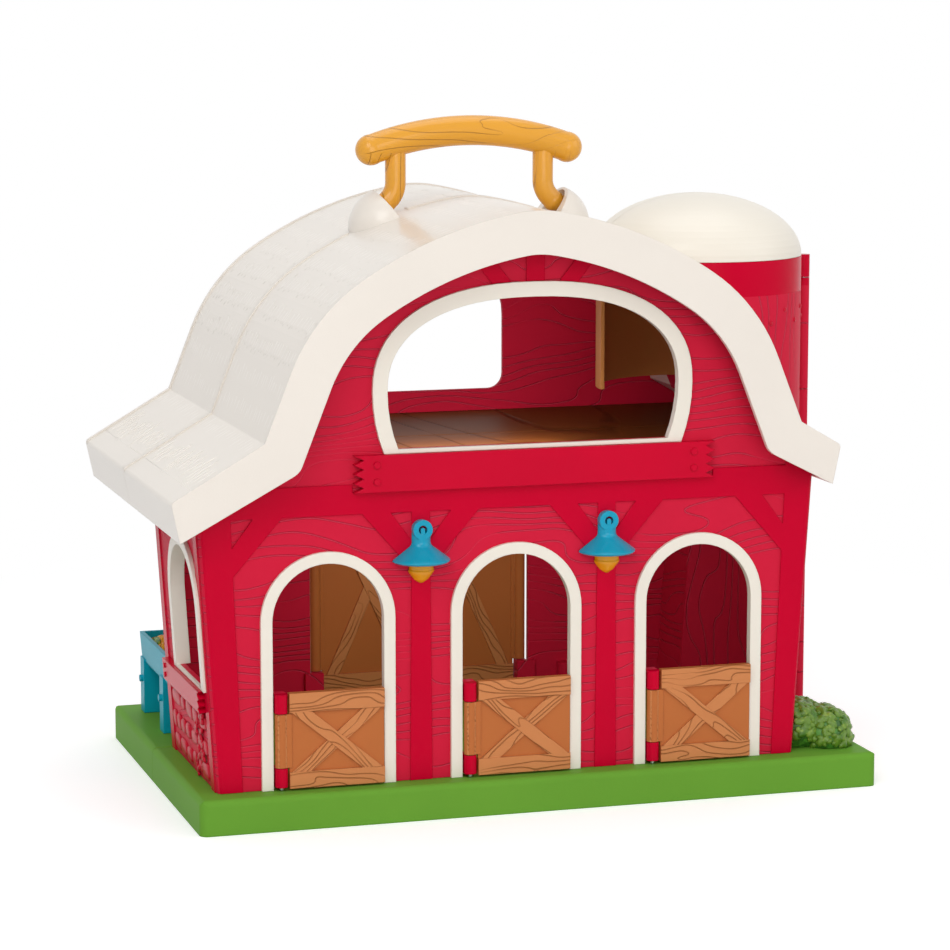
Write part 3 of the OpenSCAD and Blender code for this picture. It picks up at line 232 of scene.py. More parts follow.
@dataclass(frozen=True)
class GrainedPlastic(MouldedPlastic):
    """Moulded plastic with engraved wood grain: long wavy lines that turn back around knots.

    The lines are the level lines of a height that climbs across the grain and is stirred by a
    long smooth noise. Its slope is measured too, so every line keeps one width in millimetres.
    Parts of each line are worn, which stops the eye from reading the grain as a print.
    """

    run: GrainRun = GrainRun.ALONG_X
    line_pitch_mm: float = 5.8
    line_mm: float = 0.95
    line_depth_mm: float = 0.6
    wave_mm: tuple[float, float] = (70.0, 24.0)
    waviness: float = 7.5
    # The default, a lighter pink than the red boards, is a painted highlight on the lit edge of each groove
    line_tone: str = "E0586E"
    line_share: float = 0.42
    smooth_side: HalfSpace | None = None
    smooth_colour: str = "C8002C"
    smooth_roughness: float = 0.26
    grip_foot_mm: float = 312.0
    through_mm: float = 500.0
    probe_mm: float = 0.25
    floor_share: float = 0.12
    worn_scale: float = 24.0
    worn_band: tuple[float, float] = (0.36, 0.46)
    worn_left: float = 0.25

    def grain_axes(self, pen: NodePen) -> tuple[Socket, Socket, Socket]:
        """Gives the coordinates along, across and into the grain.

        Args:
            pen: the material's node writer.

        Returns:
            Three sockets, in metres.
        """
        place = pen.add("TexCoord", out="Object")
        x, y, z = (pen.add("SeparateXYZ", place, out=i) for i in range(3))
        if self.run is GrainRun.ALONG_Y:
            return y, z, x
        if self.run is GrainRun.UP_THE_SILO:
            mid_x, mid_y, reach = (v * MM for v in SILO_MM)
            dx = pen.add("Math", x, mid_x, operation="SUBTRACT")
            dy = pen.add("Math", y, mid_y, operation="SUBTRACT")
            turn = pen.add("Math", dy, dx, operation="ARCTAN2")
            return z, pen.add("Math", turn, reach, operation="MULTIPLY"), dx
        if self.run is GrainRun.DOWN_THE_HANDLE:
            leg = pen.add("Math", z, self.grip_foot_mm * MM, operation="LESS_THAN")
            along = pen.add("Mix", leg, named={REAL_A: x, REAL_B: z})
            return along, pen.add("Mix", leg, named={REAL_A: z, REAL_B: x}), y
        return x, z, y

    def smooth_share(self, pen: NodePen) -> Socket | None:
        """Gives where the plastic is smooth, or None if the grain is everywhere."""
        return self.smooth_side.share(pen) if self.smooth_side is not None else None

    def climb(self, pen: NodePen, along: Socket, across: Socket, into: Socket,
              step: tuple[float, float]) -> Socket:
        """Gives the height whose level lines are the grain, read a small step away.

        Args:
            pen: the material's node writer.
            along: place along the grain.
            across: place across it.
            into: place through the wall.
            step: how far away along and across the height is read, in metres.

        Returns:
            The height, which passes one whole number per line.
        """
        long_m, wide_m = (v * MM for v in self.wave_mm)
        u = pen.add("Math", pen.add("Math", along, step[0], operation="ADD"), long_m, operation="DIVIDE")
        v = pen.add("Math", across, step[1], operation="ADD")
        w = pen.add("Math", into, self.through_mm * MM, operation="DIVIDE")
        place = pen.add("CombineXYZ", u, pen.add("Math", v, wide_m, operation="DIVIDE"), w)
        stir = pen.add("TexNoise", place, named={"Scale": 1.0, "Detail": 0.6})
        rise = pen.add("Math", v, self.line_pitch_mm * MM, operation="DIVIDE")
        return pen.add("Math", stir, self.waviness, rise, operation="MULTIPLY_ADD")

    def lines(self, pen: NodePen) -> Socket:
        """Gives the engraved lines.

        Args:
            pen: the material's node writer.

        Returns:
            1 in the bottom of a line and 0 on the board.
        """
        axes = self.grain_axes(pen)
        step = self.probe_mm * MM
        here, on, up = (self.climb(pen, *axes, (a, b)) for a, b in ((0, 0), (step, 0), (0, step)))
        slopes = [pen.add("Math", pen.add("Math", there, here, operation="SUBTRACT"), 2.0, operation="POWER")
                  for there in (on, up)]
        slope = pen.add("Math", pen.add("Math", *slopes, operation="ADD"), operation="SQRT")
        slope = pen.add("Math", slope, step, operation="DIVIDE")
        off = pen.add("Math", pen.add("Math", here, operation="FRACT"), 0.5, operation="SUBTRACT")
        off = pen.add("Math", 0.5, pen.add("Math", off, operation="ABSOLUTE"), operation="SUBTRACT")
        reach = pen.add("Math", off, pen.add("Math", slope, 1.0, operation="MAXIMUM"), operation="DIVIDE")
        rim, foot = (self.line_mm * share * MM for share in (0.5, self.floor_share))
        groove = pen.add("MapRange", reach, rim, foot, 0.0, 1.0)
        place = pen.add("TexCoord", out="Object")
        patch = pen.add("TexNoise", place, named={"Scale": self.worn_scale, "Detail": 1.0})
        worn = pen.add("MapRange", patch, *self.worn_band, self.worn_left, 1.0)
        return pen.add("Math", groove, worn, operation="MULTIPLY")

    def paint(self, pen: NodePen) -> Paint:
        """Lays the colour and the grain lines."""
        line = self.lines(pen)
        rough: float | Socket = self.roughness
        colour = self.board(pen, self.colour)
        smooth = self.smooth_share(pen)
        if smooth is not None:
            grained = pen.add("Math", 1.0, smooth, operation="SUBTRACT")
            line = pen.add("Math", line, grained, operation="MULTIPLY")
            rough = pen.add("MapRange", smooth, 0.0, 1.0, self.roughness, self.smooth_roughness)
            bare = self.board(pen, self.smooth_colour)
            colour = pen.add("Mix", smooth, named={TONE_A: colour, TONE_B: bare}, data_type="RGBA", out=TONE)
        # Tints the lines with line_tone: grain colour on doors, handle and loft floor; the lighter default on
        # the red walls and silo is a painted highlight
        ink = pen.add("Math", line, self.line_share, operation="MULTIPLY")
        inked = {TONE_A: colour, TONE_B: hex_rgba(self.line_tone)}
        colour = pen.add("Mix", ink, named=inked, data_type="RGBA", out=TONE)
        flat = pen.add("Math", 1.0, line, operation="SUBTRACT")
        return colour, rough, [(flat, self.line_depth_mm)]


@dataclass(frozen=True)
class BracedDoorPlastic(GrainedPlastic):
    """Tan plastic of a braced door: rails and straps carry grain along themselves, panels are smooth.

    Each board stands at its own depth off the leaf's middle plane, and that tells them apart. The smooth
    parts take a darker tan, which on the recessed panels is painted shade.
    """

    mid_y_mm: float = -104.05
    mid_z_mm: float = 40.6
    open_half_mm: float = 14.4
    strap_tilt: float = -40.2
    over_mm: float = 1.8
    under_mm: float = 1.55
    barrel_mm: float = 2.05

    def depth(self, pen: NodePen) -> Socket:
        """Gives the distance from the leaf's middle plane."""
        y = pen.add("SeparateXYZ", pen.add("TexCoord", out="Object"), out=1)
        off = pen.add("Math", y, self.mid_y_mm * MM, operation="SUBTRACT")
        return pen.add("Math", off, operation="ABSOLUTE")

    def grain_axes(self, pen: NodePen) -> tuple[Socket, Socket, Socket]:
        """Gives the coordinates along and across each board."""
        place = pen.add("TexCoord", out="Object")
        x, y, z = (pen.add("SeparateXYZ", place, out=i) for i in range(3))
        depth = self.depth(pen)
        above = pen.add("Math", z, self.mid_z_mm * MM, operation="SUBTRACT")
        high = pen.add("Math", above, operation="ABSOLUTE")
        brace = pen.add("Math", high, self.open_half_mm * MM, operation="LESS_THAN")
        under = pen.add("Math", depth, self.over_mm * MM, operation="LESS_THAN")
        along, across = x, z
        for share, tilt in ((brace, self.strap_tilt), (under, -self.strap_tilt)):
            c, s = math.cos(math.radians(tilt)), math.sin(math.radians(tilt))
            run = pen.add("VectorMath", place, (c, 0.0, s), operation="DOT_PRODUCT", out="Value")
            side = pen.add("VectorMath", place, (-s, 0.0, c), operation="DOT_PRODUCT", out="Value")
            along = pen.add("Mix", share, named={REAL_A: along, REAL_B: run})
            across = pen.add("Mix", share, named={REAL_A: across, REAL_B: side})
        return along, across, y

    def smooth_share(self, pen: NodePen) -> Socket:
        """Gives 1 on the panels, the hinge stile and its barrel."""
        depth = self.depth(pen)
        low = pen.add("Math", depth, self.under_mm * MM, operation="LESS_THAN")
        high = pen.add("Math", depth, self.barrel_mm * MM, operation="GREATER_THAN")
        return pen.add("Math", low, high, operation="MAXIMUM")


@dataclass(frozen=True)
class DrawnSteel:
    """Drawn steel wire: fine marks along its length stretch the highlights."""

    name: str = "drawn_steel"
    marks_per_m: tuple[float, float, float] = (4000.0, 4000.0, 90.0)
    tones: tuple[str, str] = ("C9CCD0", "9EA2A8")
    roughness: tuple[float, float] = (0.22, 0.4)

    def material(self) -> bpy.types.Material:
        """Builds the material."""
        made = bpy.data.materials.new(self.name)
        made.use_nodes = True
        pen = NodePen(made.node_tree)
        place = pen.add("TexCoord", out="Object")
        place = pen.add("VectorMath", place, self.marks_per_m, operation="MULTIPLY")
        marks = pen.add("TexNoise", place, named={"Scale": 1.0})
        bright, dull = (hex_rgba(tone) for tone in self.tones)
        colour = pen.add("Mix", marks, named={TONE_A: bright, TONE_B: dull}, data_type="RGBA", out=TONE)
        rough = pen.add("MapRange", marks, 0.3, 0.7, *self.roughness)
        shader = pen.add("BsdfPrincipled", named={"Base Color": colour, "Metallic": 1.0, "Roughness": rough})
        pen.add("OutputMaterial", shader)
        return made


@dataclass(frozen=True)
class MottledPlastic(MouldedPlastic):
    """Moulded plastic sprayed in a second and third tone, as on foliage and corn.

    The soft patches keep the small leaves and kernels apart where their shapes run together.
    """

    second: str = "356B1C"
    third: str = "5E9A34"
    patch_mm: float = 9.0
    fleck_mm: float = 2.5
    second_from: float = 0.5
    third_from: float = 0.5
    soft: float = 0.12

    def paint(self, pen: NodePen) -> Paint:
        """Lays the three tones in soft patches."""
        colour = self.board(pen, self.colour)
        place = pen.add("TexCoord", out="Object")
        coats = ((self.second, self.patch_mm, self.second_from),
                 (self.third, self.fleck_mm, self.third_from))
        for tone, size, start in coats:
            patch = pen.add("TexNoise", place, named={"Scale": 1 / (size * MM), "Detail": 1.0})
            share = pen.add("MapRange", patch, start, start + self.soft, 0.0, 1.0)
            sprayed = {TONE_A: colour, TONE_B: hex_rgba(tone)}
            colour = pen.add("Mix", share, named=sprayed, data_type="RGBA", out=TONE)
        return colour, self.roughness, []


@dataclass
class Spot:
    """One place for a copied piece."""

    place: Vector
    turn: Vector
    size: Vector = field(default_factory=lambda: Vector((1.0, 1.0, 1.0)))


def turn_to(along: Vector, up: Vector) -> Vector:
    """Gives the Euler turn that lays a piece's X along one direction and its Z near another.

    Args:
        along: where the piece's X axis points.
        up: roughly where its Z axis points.

    Returns:
        The turn as XYZ Euler angles.
    """
    x = along.normalized()
    y = up.cross(x).normalized()
    return Vector(Matrix((x, y, x.cross(y))).transposed().to_euler("XYZ"))


class Workshop:
    """Makes meshes and objects, and spreads small pieces with Geometry Nodes."""

    @staticmethod
    def link(name: str, mesh: bpy.types.Mesh, material: bpy.types.Material | None = None) -> bpy.types.Object:
        """Puts a mesh in the scene as an object at the origin."""
        made = bpy.data.objects.new(name, mesh)
        bpy.context.scene.collection.objects.link(made)
        if material is not None:
            made.data.materials.clear()
            made.data.materials.append(material)
        return made

    @staticmethod
    def mesh(name: str, points: Iterable[Sequence[float]], faces: Iterable[Sequence[int]]) -> bpy.types.Mesh:
        """Makes a mesh of points and faces, smooth and with its normals outwards.

        Args:
            name: the mesh's name.
            points: its points, in metres.
            faces: its faces, as numbers of points.

        Returns:
            The mesh.
        """
        made = bpy.data.meshes.new(name)
        made.from_pydata([tuple(p) for p in points], [], [tuple(f) for f in faces])
        work = bmesh.new()
        work.from_mesh(made)
        bmesh.ops.recalc_face_normals(work, faces=work.faces)
        for face in work.faces:
            face.smooth = True
        work.to_mesh(made)
        work.free()
        return made

    @staticmethod
    def quads(rows: int, columns: int, closed: bool = True, start: int = 0) -> list[Sequence[int]]:
        """Gives the faces between rows of points.

        Args:
            rows: how many rows there are.
            columns: how many points a row has.
            closed: whether each row closes on itself.
            start: number of the first point.

        Returns:
            Faces as numbers of points, row by row.
        """
        return [(start + i * columns + k, start + i * columns + (k + 1) % columns,
                 start + (i + 1) * columns + (k + 1) % columns, start + (i + 1) * columns + k)
                for i in range(rows - 1) for k in range(columns if closed else columns - 1)]

    @staticmethod
    def cushion(name: str, rings: Sequence[tuple[float, float]],
                outline: Sequence[tuple[float, float]]) -> bpy.types.Object:
        """Makes a closed pillow from one outline, shrunk and raised ring by ring.

        Args:
            name: the piece's name.
            rings: each ring's share of the outline and its height in metres, lowest first.
            outline: the outline's points around the middle, in metres.

        Returns:
            The piece.
        """
        count = len(outline)
        points = [(x * share, y * share, height) for share, height in rings for x, y in outline]
        faces = Workshop.quads(len(rings), count)
        faces += [range(count - 1, -1, -1), range((len(rings) - 1) * count, len(rings) * count)]
        return Workshop.link(name, Workshop.mesh(name, points, faces))

    @staticmethod
    def spread(name: str, spots: Sequence[Spot], piece: bpy.types.Object, finish: bpy.types.Material,
               jitter: float, seed: int) -> bpy.types.Object:
        """Sets a copy of a piece on every spot, with Geometry Nodes.

        Args:
            name: the new object's name.
            spots: where the copies stand, how they turn and how large they are.
            piece: the mesh object to copy, which is used up.
            finish: the copies' material.
            jitter: share by which each copy's size may differ.
            seed: seed of that difference.

        Returns:
            A plain mesh object that holds all the copies.
        """
        cloud = bpy.data.meshes.new(name + "_spots")
        cloud.from_pydata([tuple(s.place) for s in spots], [], [])
        for label in ("turn", "size"):
            values = cloud.attributes.new(label, "FLOAT_VECTOR", "POINT")
            for i, spot in enumerate(spots):
                values.data[i].vector = tuple(getattr(spot, label))
        carrier = Workshop.link(name + "_spots", cloud)
        tree = Workshop.spread_tree(name)
        step = carrier.modifiers.new("spread", "NODES")
        step.node_group = tree
        given = {"Piece": piece, "Finish": finish, "Jitter": jitter, "Seed": seed}
        for item in tree.interface.items_tree:
            if item.item_type == "SOCKET" and item.in_out == "INPUT" and item.name in given:
                step[item.identifier] = given[item.name]
        bpy.context.view_layer.update()
        flat = bpy.data.meshes.new_from_object(carrier.evaluated_get(bpy.context.evaluated_depsgraph_get()))
        flat.name = name
        bpy.data.objects.remove(carrier)
        bpy.data.objects.remove(piece)
        LOG.info("%s: %d copies, %d faces", name, len(spots), len(flat.polygons))
        return Workshop.link(name, flat)

    @staticmethod
    def spread_tree(name: str) -> bpy.types.NodeTree:
        """Builds the node tree that copies a piece onto points."""
        tree = bpy.data.node_groups.new(name + "_tree", "GeometryNodeTree")
        sockets = {"Points": "Geometry", "Piece": "Object", "Finish": "Material",
                   "Jitter": "Float", "Seed": "Int"}
        for label, kind in sockets.items():
            tree.interface.new_socket(label, in_out="INPUT", socket_type="NodeSocket" + kind)
        tree.interface.new_socket("Geometry", in_out="OUTPUT", socket_type="NodeSocketGeometry")
        pen = NodePen(tree)
        given = {label: pen.add("NodeGroupInput", out=label) for label in sockets}
        kept = {"data_type": "FLOAT_VECTOR", "out": "Attribute"}
        turn, size = (pen.add("GeometryNodeInputNamedAttribute", label, **kept) for label in ("turn", "size"))
        low = pen.add("Math", 1.0, given["Jitter"], operation="SUBTRACT")
        high = pen.add("Math", 1.0, given["Jitter"], operation="ADD")
        limits = {REAL_A: low, REAL_B: high, "Seed": given["Seed"]}
        chance = pen.add("FunctionNodeRandomValue", named=limits, data_type="FLOAT", out=1)
        grown = pen.add("VectorMath", size, named={"Scale": chance}, operation="SCALE")
        shape = pen.add("GeometryNodeObjectInfo", given["Piece"], out="Geometry")
        copies = pen.add("GeometryNodeInstanceOnPoints", named={
            "Points": given["Points"], "Instance": shape, "Scale": grown,
            "Rotation": pen.add("FunctionNodeEulerToRotation", turn)})
        real = pen.add("GeometryNodeRealizeInstances", copies)
        dressed = pen.add("GeometryNodeSetMaterial", named={"Geometry": real, "Material": given["Finish"]})
        pen.add("NodeGroupOutput", dressed)
        return tree

    @staticmethod
    def tube(name: str, route: Sequence[Vector], radius: float,
             finish: bpy.types.Material) -> bpy.types.Object:
        """Makes a round closed stem along a route that tapers to its tip.

        Args:
            name: the piece's name.
            route: points along the stem, in metres.
            radius: its radius at the foot.
            finish: its material.

        Returns:
            The piece.
        """
        sides, taper = 8, 0.6
        points: list[Vector] = []
        for i, at in enumerate(route):
            ahead = (route[min(i + 1, len(route) - 1)] - route[max(i - 1, 0)]).normalized()
            out = ahead.orthogonal().normalized()
            side = ahead.cross(out)
            r = radius * (1 - taper * i / (len(route) - 1))
            points += [at + r * (out * math.cos(a) + side * math.sin(a)) for a in
                       (2 * math.pi * k / sides for k in range(sides))]
        faces = Workshop.quads(len(route), sides)
        faces += [range(sides - 1, -1, -1), range(len(points) - sides, len(points))]
        return Workshop.link(name, Workshop.mesh(name, points, faces), finish)


def dress(nodes: Iterable[str], finish: MouldedPlastic | DrawnSteel, frame: dict) -> bpy.types.Material:
    """Gives CAD nodes a finish.

    Args:
        nodes: the nodes' names.
        finish: the finish.
        frame: the loaded frame.

    Returns:
        The finish's material.
    """
    material = finish.material()
    for name in nodes:
        piece = frame["nodes"][name]
        piece.data.materials.clear()
        piece.data.materials.append(material)
        LOG.info("%s dressed in %s", name, finish.name)
    return material


@dataclass(frozen=True)
class SoftLight:
    """One square soft light: its place and aim, its edge in metres and its power in watts."""

    name: str
    place: tuple[float, float, float]
    aim: tuple[float, float, float]
    edge: float
    watts: float


@dataclass
class Studio:
    """Floor, lights and camera of the picture.

    Two small lights stand inside the toy, where the openings let too little in.
    """

    camera_place: tuple[float, float, float] = (-0.48218, -1.57581, 0.39824)
    camera_look: tuple[float, float, float] = (0.28774, 0.94583, -0.15037)
    lens_mm: float = 124.04
    sensor_mm: float = 36.0
    room_strength: float = 0.5
    floor_half: float = 6.0
    floor_grey: float = 0.8
    floor_glow: float = 0.41
    fade: tuple[float, float] = (0.30, 0.60)
    unseen_below: float = 0.5
    soft_lights: tuple[SoftLight, ...] = (
        SoftLight("key", (-1.1, -1.5, 1.7), (0, 0, 0.12), 1.2, 15),
        SoftLight("front", (-0.2, -1.9, 0.55), (0, 0, 0.12), 1.2, 8.5),
        SoftLight("stalls", (-0.02, -0.06, 0.155), (-0.02, 0.09, 0.07), 0.1, 0.17),
        SoftLight("loft", (-0.02, -0.06, 0.235), (0.05, 0.09, 0.18), 0.08, 0.02),
        SoftLight("fill", (1.6, -1.2, 0.9), (0, 0, 0.15), 1.4, 6),
        SoftLight("top", (0.1, 0.3, 2.2), (0, 0, 0), 1.6, 11),
    )

    def camera(self) -> None:
        """Sets up the camera of the photograph."""
        lens = bpy.data.cameras.new("photo_camera")
        lens.lens, lens.sensor_width = self.lens_mm, self.sensor_mm
        lens.clip_start, lens.clip_end = 0.05, 20.0
        rig = bpy.data.objects.new("photo_camera", lens)
        rig.location = self.camera_place
        rig.rotation_euler = Vector(self.camera_look).to_track_quat("-Z", "Y").to_euler()
        bpy.context.scene.collection.objects.link(rig)
        bpy.context.scene.camera = rig

    def lamp(self, soft: SoftLight) -> None:
        """Hangs one square soft light."""
        light = bpy.data.lights.new(soft.name, "AREA")
        light.shape, light.size, light.energy = "SQUARE", soft.edge, soft.watts
        rig = bpy.data.objects.new(soft.name, light)
        rig.location = soft.place
        rig.rotation_euler = (Vector(soft.aim) - Vector(soft.place)).to_track_quat("-Z", "Y").to_euler()
        rig.visible_camera = rig.visible_glossy = soft.edge > self.unseen_below
        bpy.context.scene.collection.objects.link(rig)

    def lights(self) -> None:
        """Hangs the soft lights around the toy and inside it, and lights the white room."""
        for soft in self.soft_lights:
            self.lamp(soft)
        world = bpy.data.worlds.new("white_room")
        bpy.context.scene.world = world
        world.use_nodes = True
        pen = NodePen(world.node_tree)
        seen = self.seen_share(pen)
        room = pen.add("Background", (1, 1, 1, 1), self.room_strength)
        white = pen.add("Background", (1, 1, 1, 1), 1.0)
        pen.add("OutputWorld", pen.add("MixShader", seen, room, white))

    @staticmethod
    def seen_share(pen: NodePen) -> Socket:
        """Gives 1 for rays that show the background: from the camera, a mirror or glass."""
        labels = ("Is Camera Ray", "Is Glossy Ray", "Is Transmission Ray")
        rays = [pen.add("LightPath", out=label) for label in labels]
        some = pen.add("Math", rays[0], rays[1], operation="ADD", use_clamp=True)
        return pen.add("Math", some, rays[2], operation="ADD", use_clamp=True)

    def floor(self) -> None:
        """Lays a pale floor that keeps the toy's shadow and fades to white around it."""
        h = self.floor_half
        mesh = Workshop.mesh("floor", [(-h, -h, 0), (h, -h, 0), (h, h, 0), (-h, h, 0)], [(0, 1, 2, 3)])
        made = bpy.data.materials.new("white_floor")
        made.use_nodes = True
        pen = NodePen(made.node_tree)
        seen = self.seen_share(pen)
        matte = pen.add("BsdfDiffuse", (self.floor_grey, self.floor_grey, self.floor_grey, 1))
        glow = pen.add("Math", seen, self.floor_glow, operation="MULTIPLY")
        lift = pen.add("Emission", named={"Strength": glow})
        near = pen.add("AddShader", matte, lift)
        place = pen.add("TexCoord", out="Object")
        reach = pen.add("VectorMath", place, operation="LENGTH", out="Value")
        far = pen.add("MapRange", reach, *self.fade, 0.0, 1.0)
        white = pen.add("Emission", named={"Strength": 1.0})
        share = pen.add("Math", far, seen, operation="MULTIPLY")
        pen.add("OutputMaterial", pen.add("MixShader", share, near, white))
        Workshop.link("floor", mesh, made)

    def build(self) -> None:
        """Builds the camera, the lights and the floor."""
        self.camera()
        self.lights()
        self.floor()
        bpy.context.scene.view_settings.view_transform = "Standard"


@dataclass
class Walls:
    """Red walls: the boards carry grain and look matt, so the smooth posts and beams stand out. Their grain
    lines are a lighter pink, a painted highlight on the lit groove edges.
    """

    right_foot_x_mm: float = 131.0
    boards: str = "D01E3C"
    timber_front_mm: float = 101.9
    timber_back_mm: float = 90.3
    strip_mm: float = 0.4
    band_foot_mm: float = 240.0

    def leaning(self, side: int) -> HalfSpace:
        """Gives the half-space outside a leaning side wall, where its strips stand proud."""
        c, s = math.cos(math.radians(FLARE_DEG)), math.sin(math.radians(FLARE_DEG))
        left_x, foot_z = LEFT_FOOT_MM
        foot = left_x if side < 0 else self.right_foot_x_mm
        return HalfSpace((side * c, 0.0, -s), (foot * side * c - foot_z * s + self.strip_mm) * MM)

    def wood(self, name: str, **changes: object) -> GrainedPlastic:
        """Gives the boards' finish with some values changed."""
        # Boards and silo staves keep the lighter pink default line tone: a painted highlight in every groove
        return GrainedPlastic(name, self.boards, 0.46, specular=0.06, grit_depth_mm=0.035, **changes)

    def build(self, frame: dict) -> None:
        """Dresses every wall."""
        front = self.wood("front_boards", smooth_side=HalfSpace((0, -1, 0), self.timber_front_mm * MM))
        dress(["front_wall"], front, frame)
        back = self.wood("back_boards", smooth_side=HalfSpace((0, 1, 0), self.timber_back_mm * MM))
        dress(["back_wall"], back, frame)
        left = self.wood("left_boards", run=GrainRun.ALONG_Y, smooth_side=self.leaning(-1))
        dress(["side_wall_left_front"], left, frame)
        right = self.wood("right_boards", run=GrainRun.ALONG_Y, smooth_side=self.leaning(1))
        dress(["side_wall_right_front", "side_wall_right_back"], right, frame)
        dress(["side_wall_left_back"], self.wood("porch_boards", run=GrainRun.ALONG_Y), frame)
        silo = self.wood("silo_staves", run=GrainRun.UP_THE_SILO, line_pitch_mm=8.0, wave_mm=(80.0, 22.0),
                         waviness=6.0, smooth_side=HalfSpace((0, 0, 1), self.band_foot_mm * MM))
        dress(["silo_wall_front", "silo_wall_back"], silo, frame)
        # Polished mould faces: the planks read as smoother and wetter than the boards behind them
        plank = MouldedPlastic("gloss_red_plank", "CA002C", 0.25, specular=0.08, gloss_coat=0.03)
        dress(["loft_sill_plank", "side_sill_plank"], plank, frame)


@dataclass
class SiloNails:
    """Domed nail heads in a ring under the silo's smooth top band."""

    head_mm: tuple[float, float] = (1.3, 0.7)
    heights_mm: tuple[float, float] = (232.0, 226.0)
    pitch_deg: float = 12.0
    reach_deg: float = 114.0
    hinge_deg: float = 9.0
    rings: tuple[tuple[float, float], ...] = ((1.0, -0.3), (1.0, 0.3), (0.8, 0.75), (0.4, 1.0))

    def build(self, finish: bpy.types.Material) -> None:
        """Builds the heads, one mesh for each half of the silo."""
        radius, height = (v * MM for v in self.head_mm)
        outline = [(radius * math.cos(a), radius * math.sin(a)) for a in (math.pi * k / 5 for k in range(10))]
        rings = [(share, up * height) for share, up in self.rings]
        for body, side in (("front_half", -1), ("back_half", 1)):
            spots = []
            for i in range(int(self.reach_deg / self.pitch_deg) + 1):
                turn = (i + 0.5) * self.pitch_deg
                if turn > self.hinge_deg:
                    a = math.radians(turn) * side
                    out = Vector((math.cos(a), math.sin(a), 0))
                    x, y, r = SILO_MM
                    place = (Vector((x, y, self.heights_mm[i % 2])) + out * r) * MM
                    spots.append(Spot(place, turn_to(Vector((0, 0, 1)), out)))
            head = Workshop.cushion("nail_head", rings, outline)
            made = Workshop.spread(f"silo_nails_{body}", spots, head, finish, jitter=0.06, seed=4)
            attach(made, body)


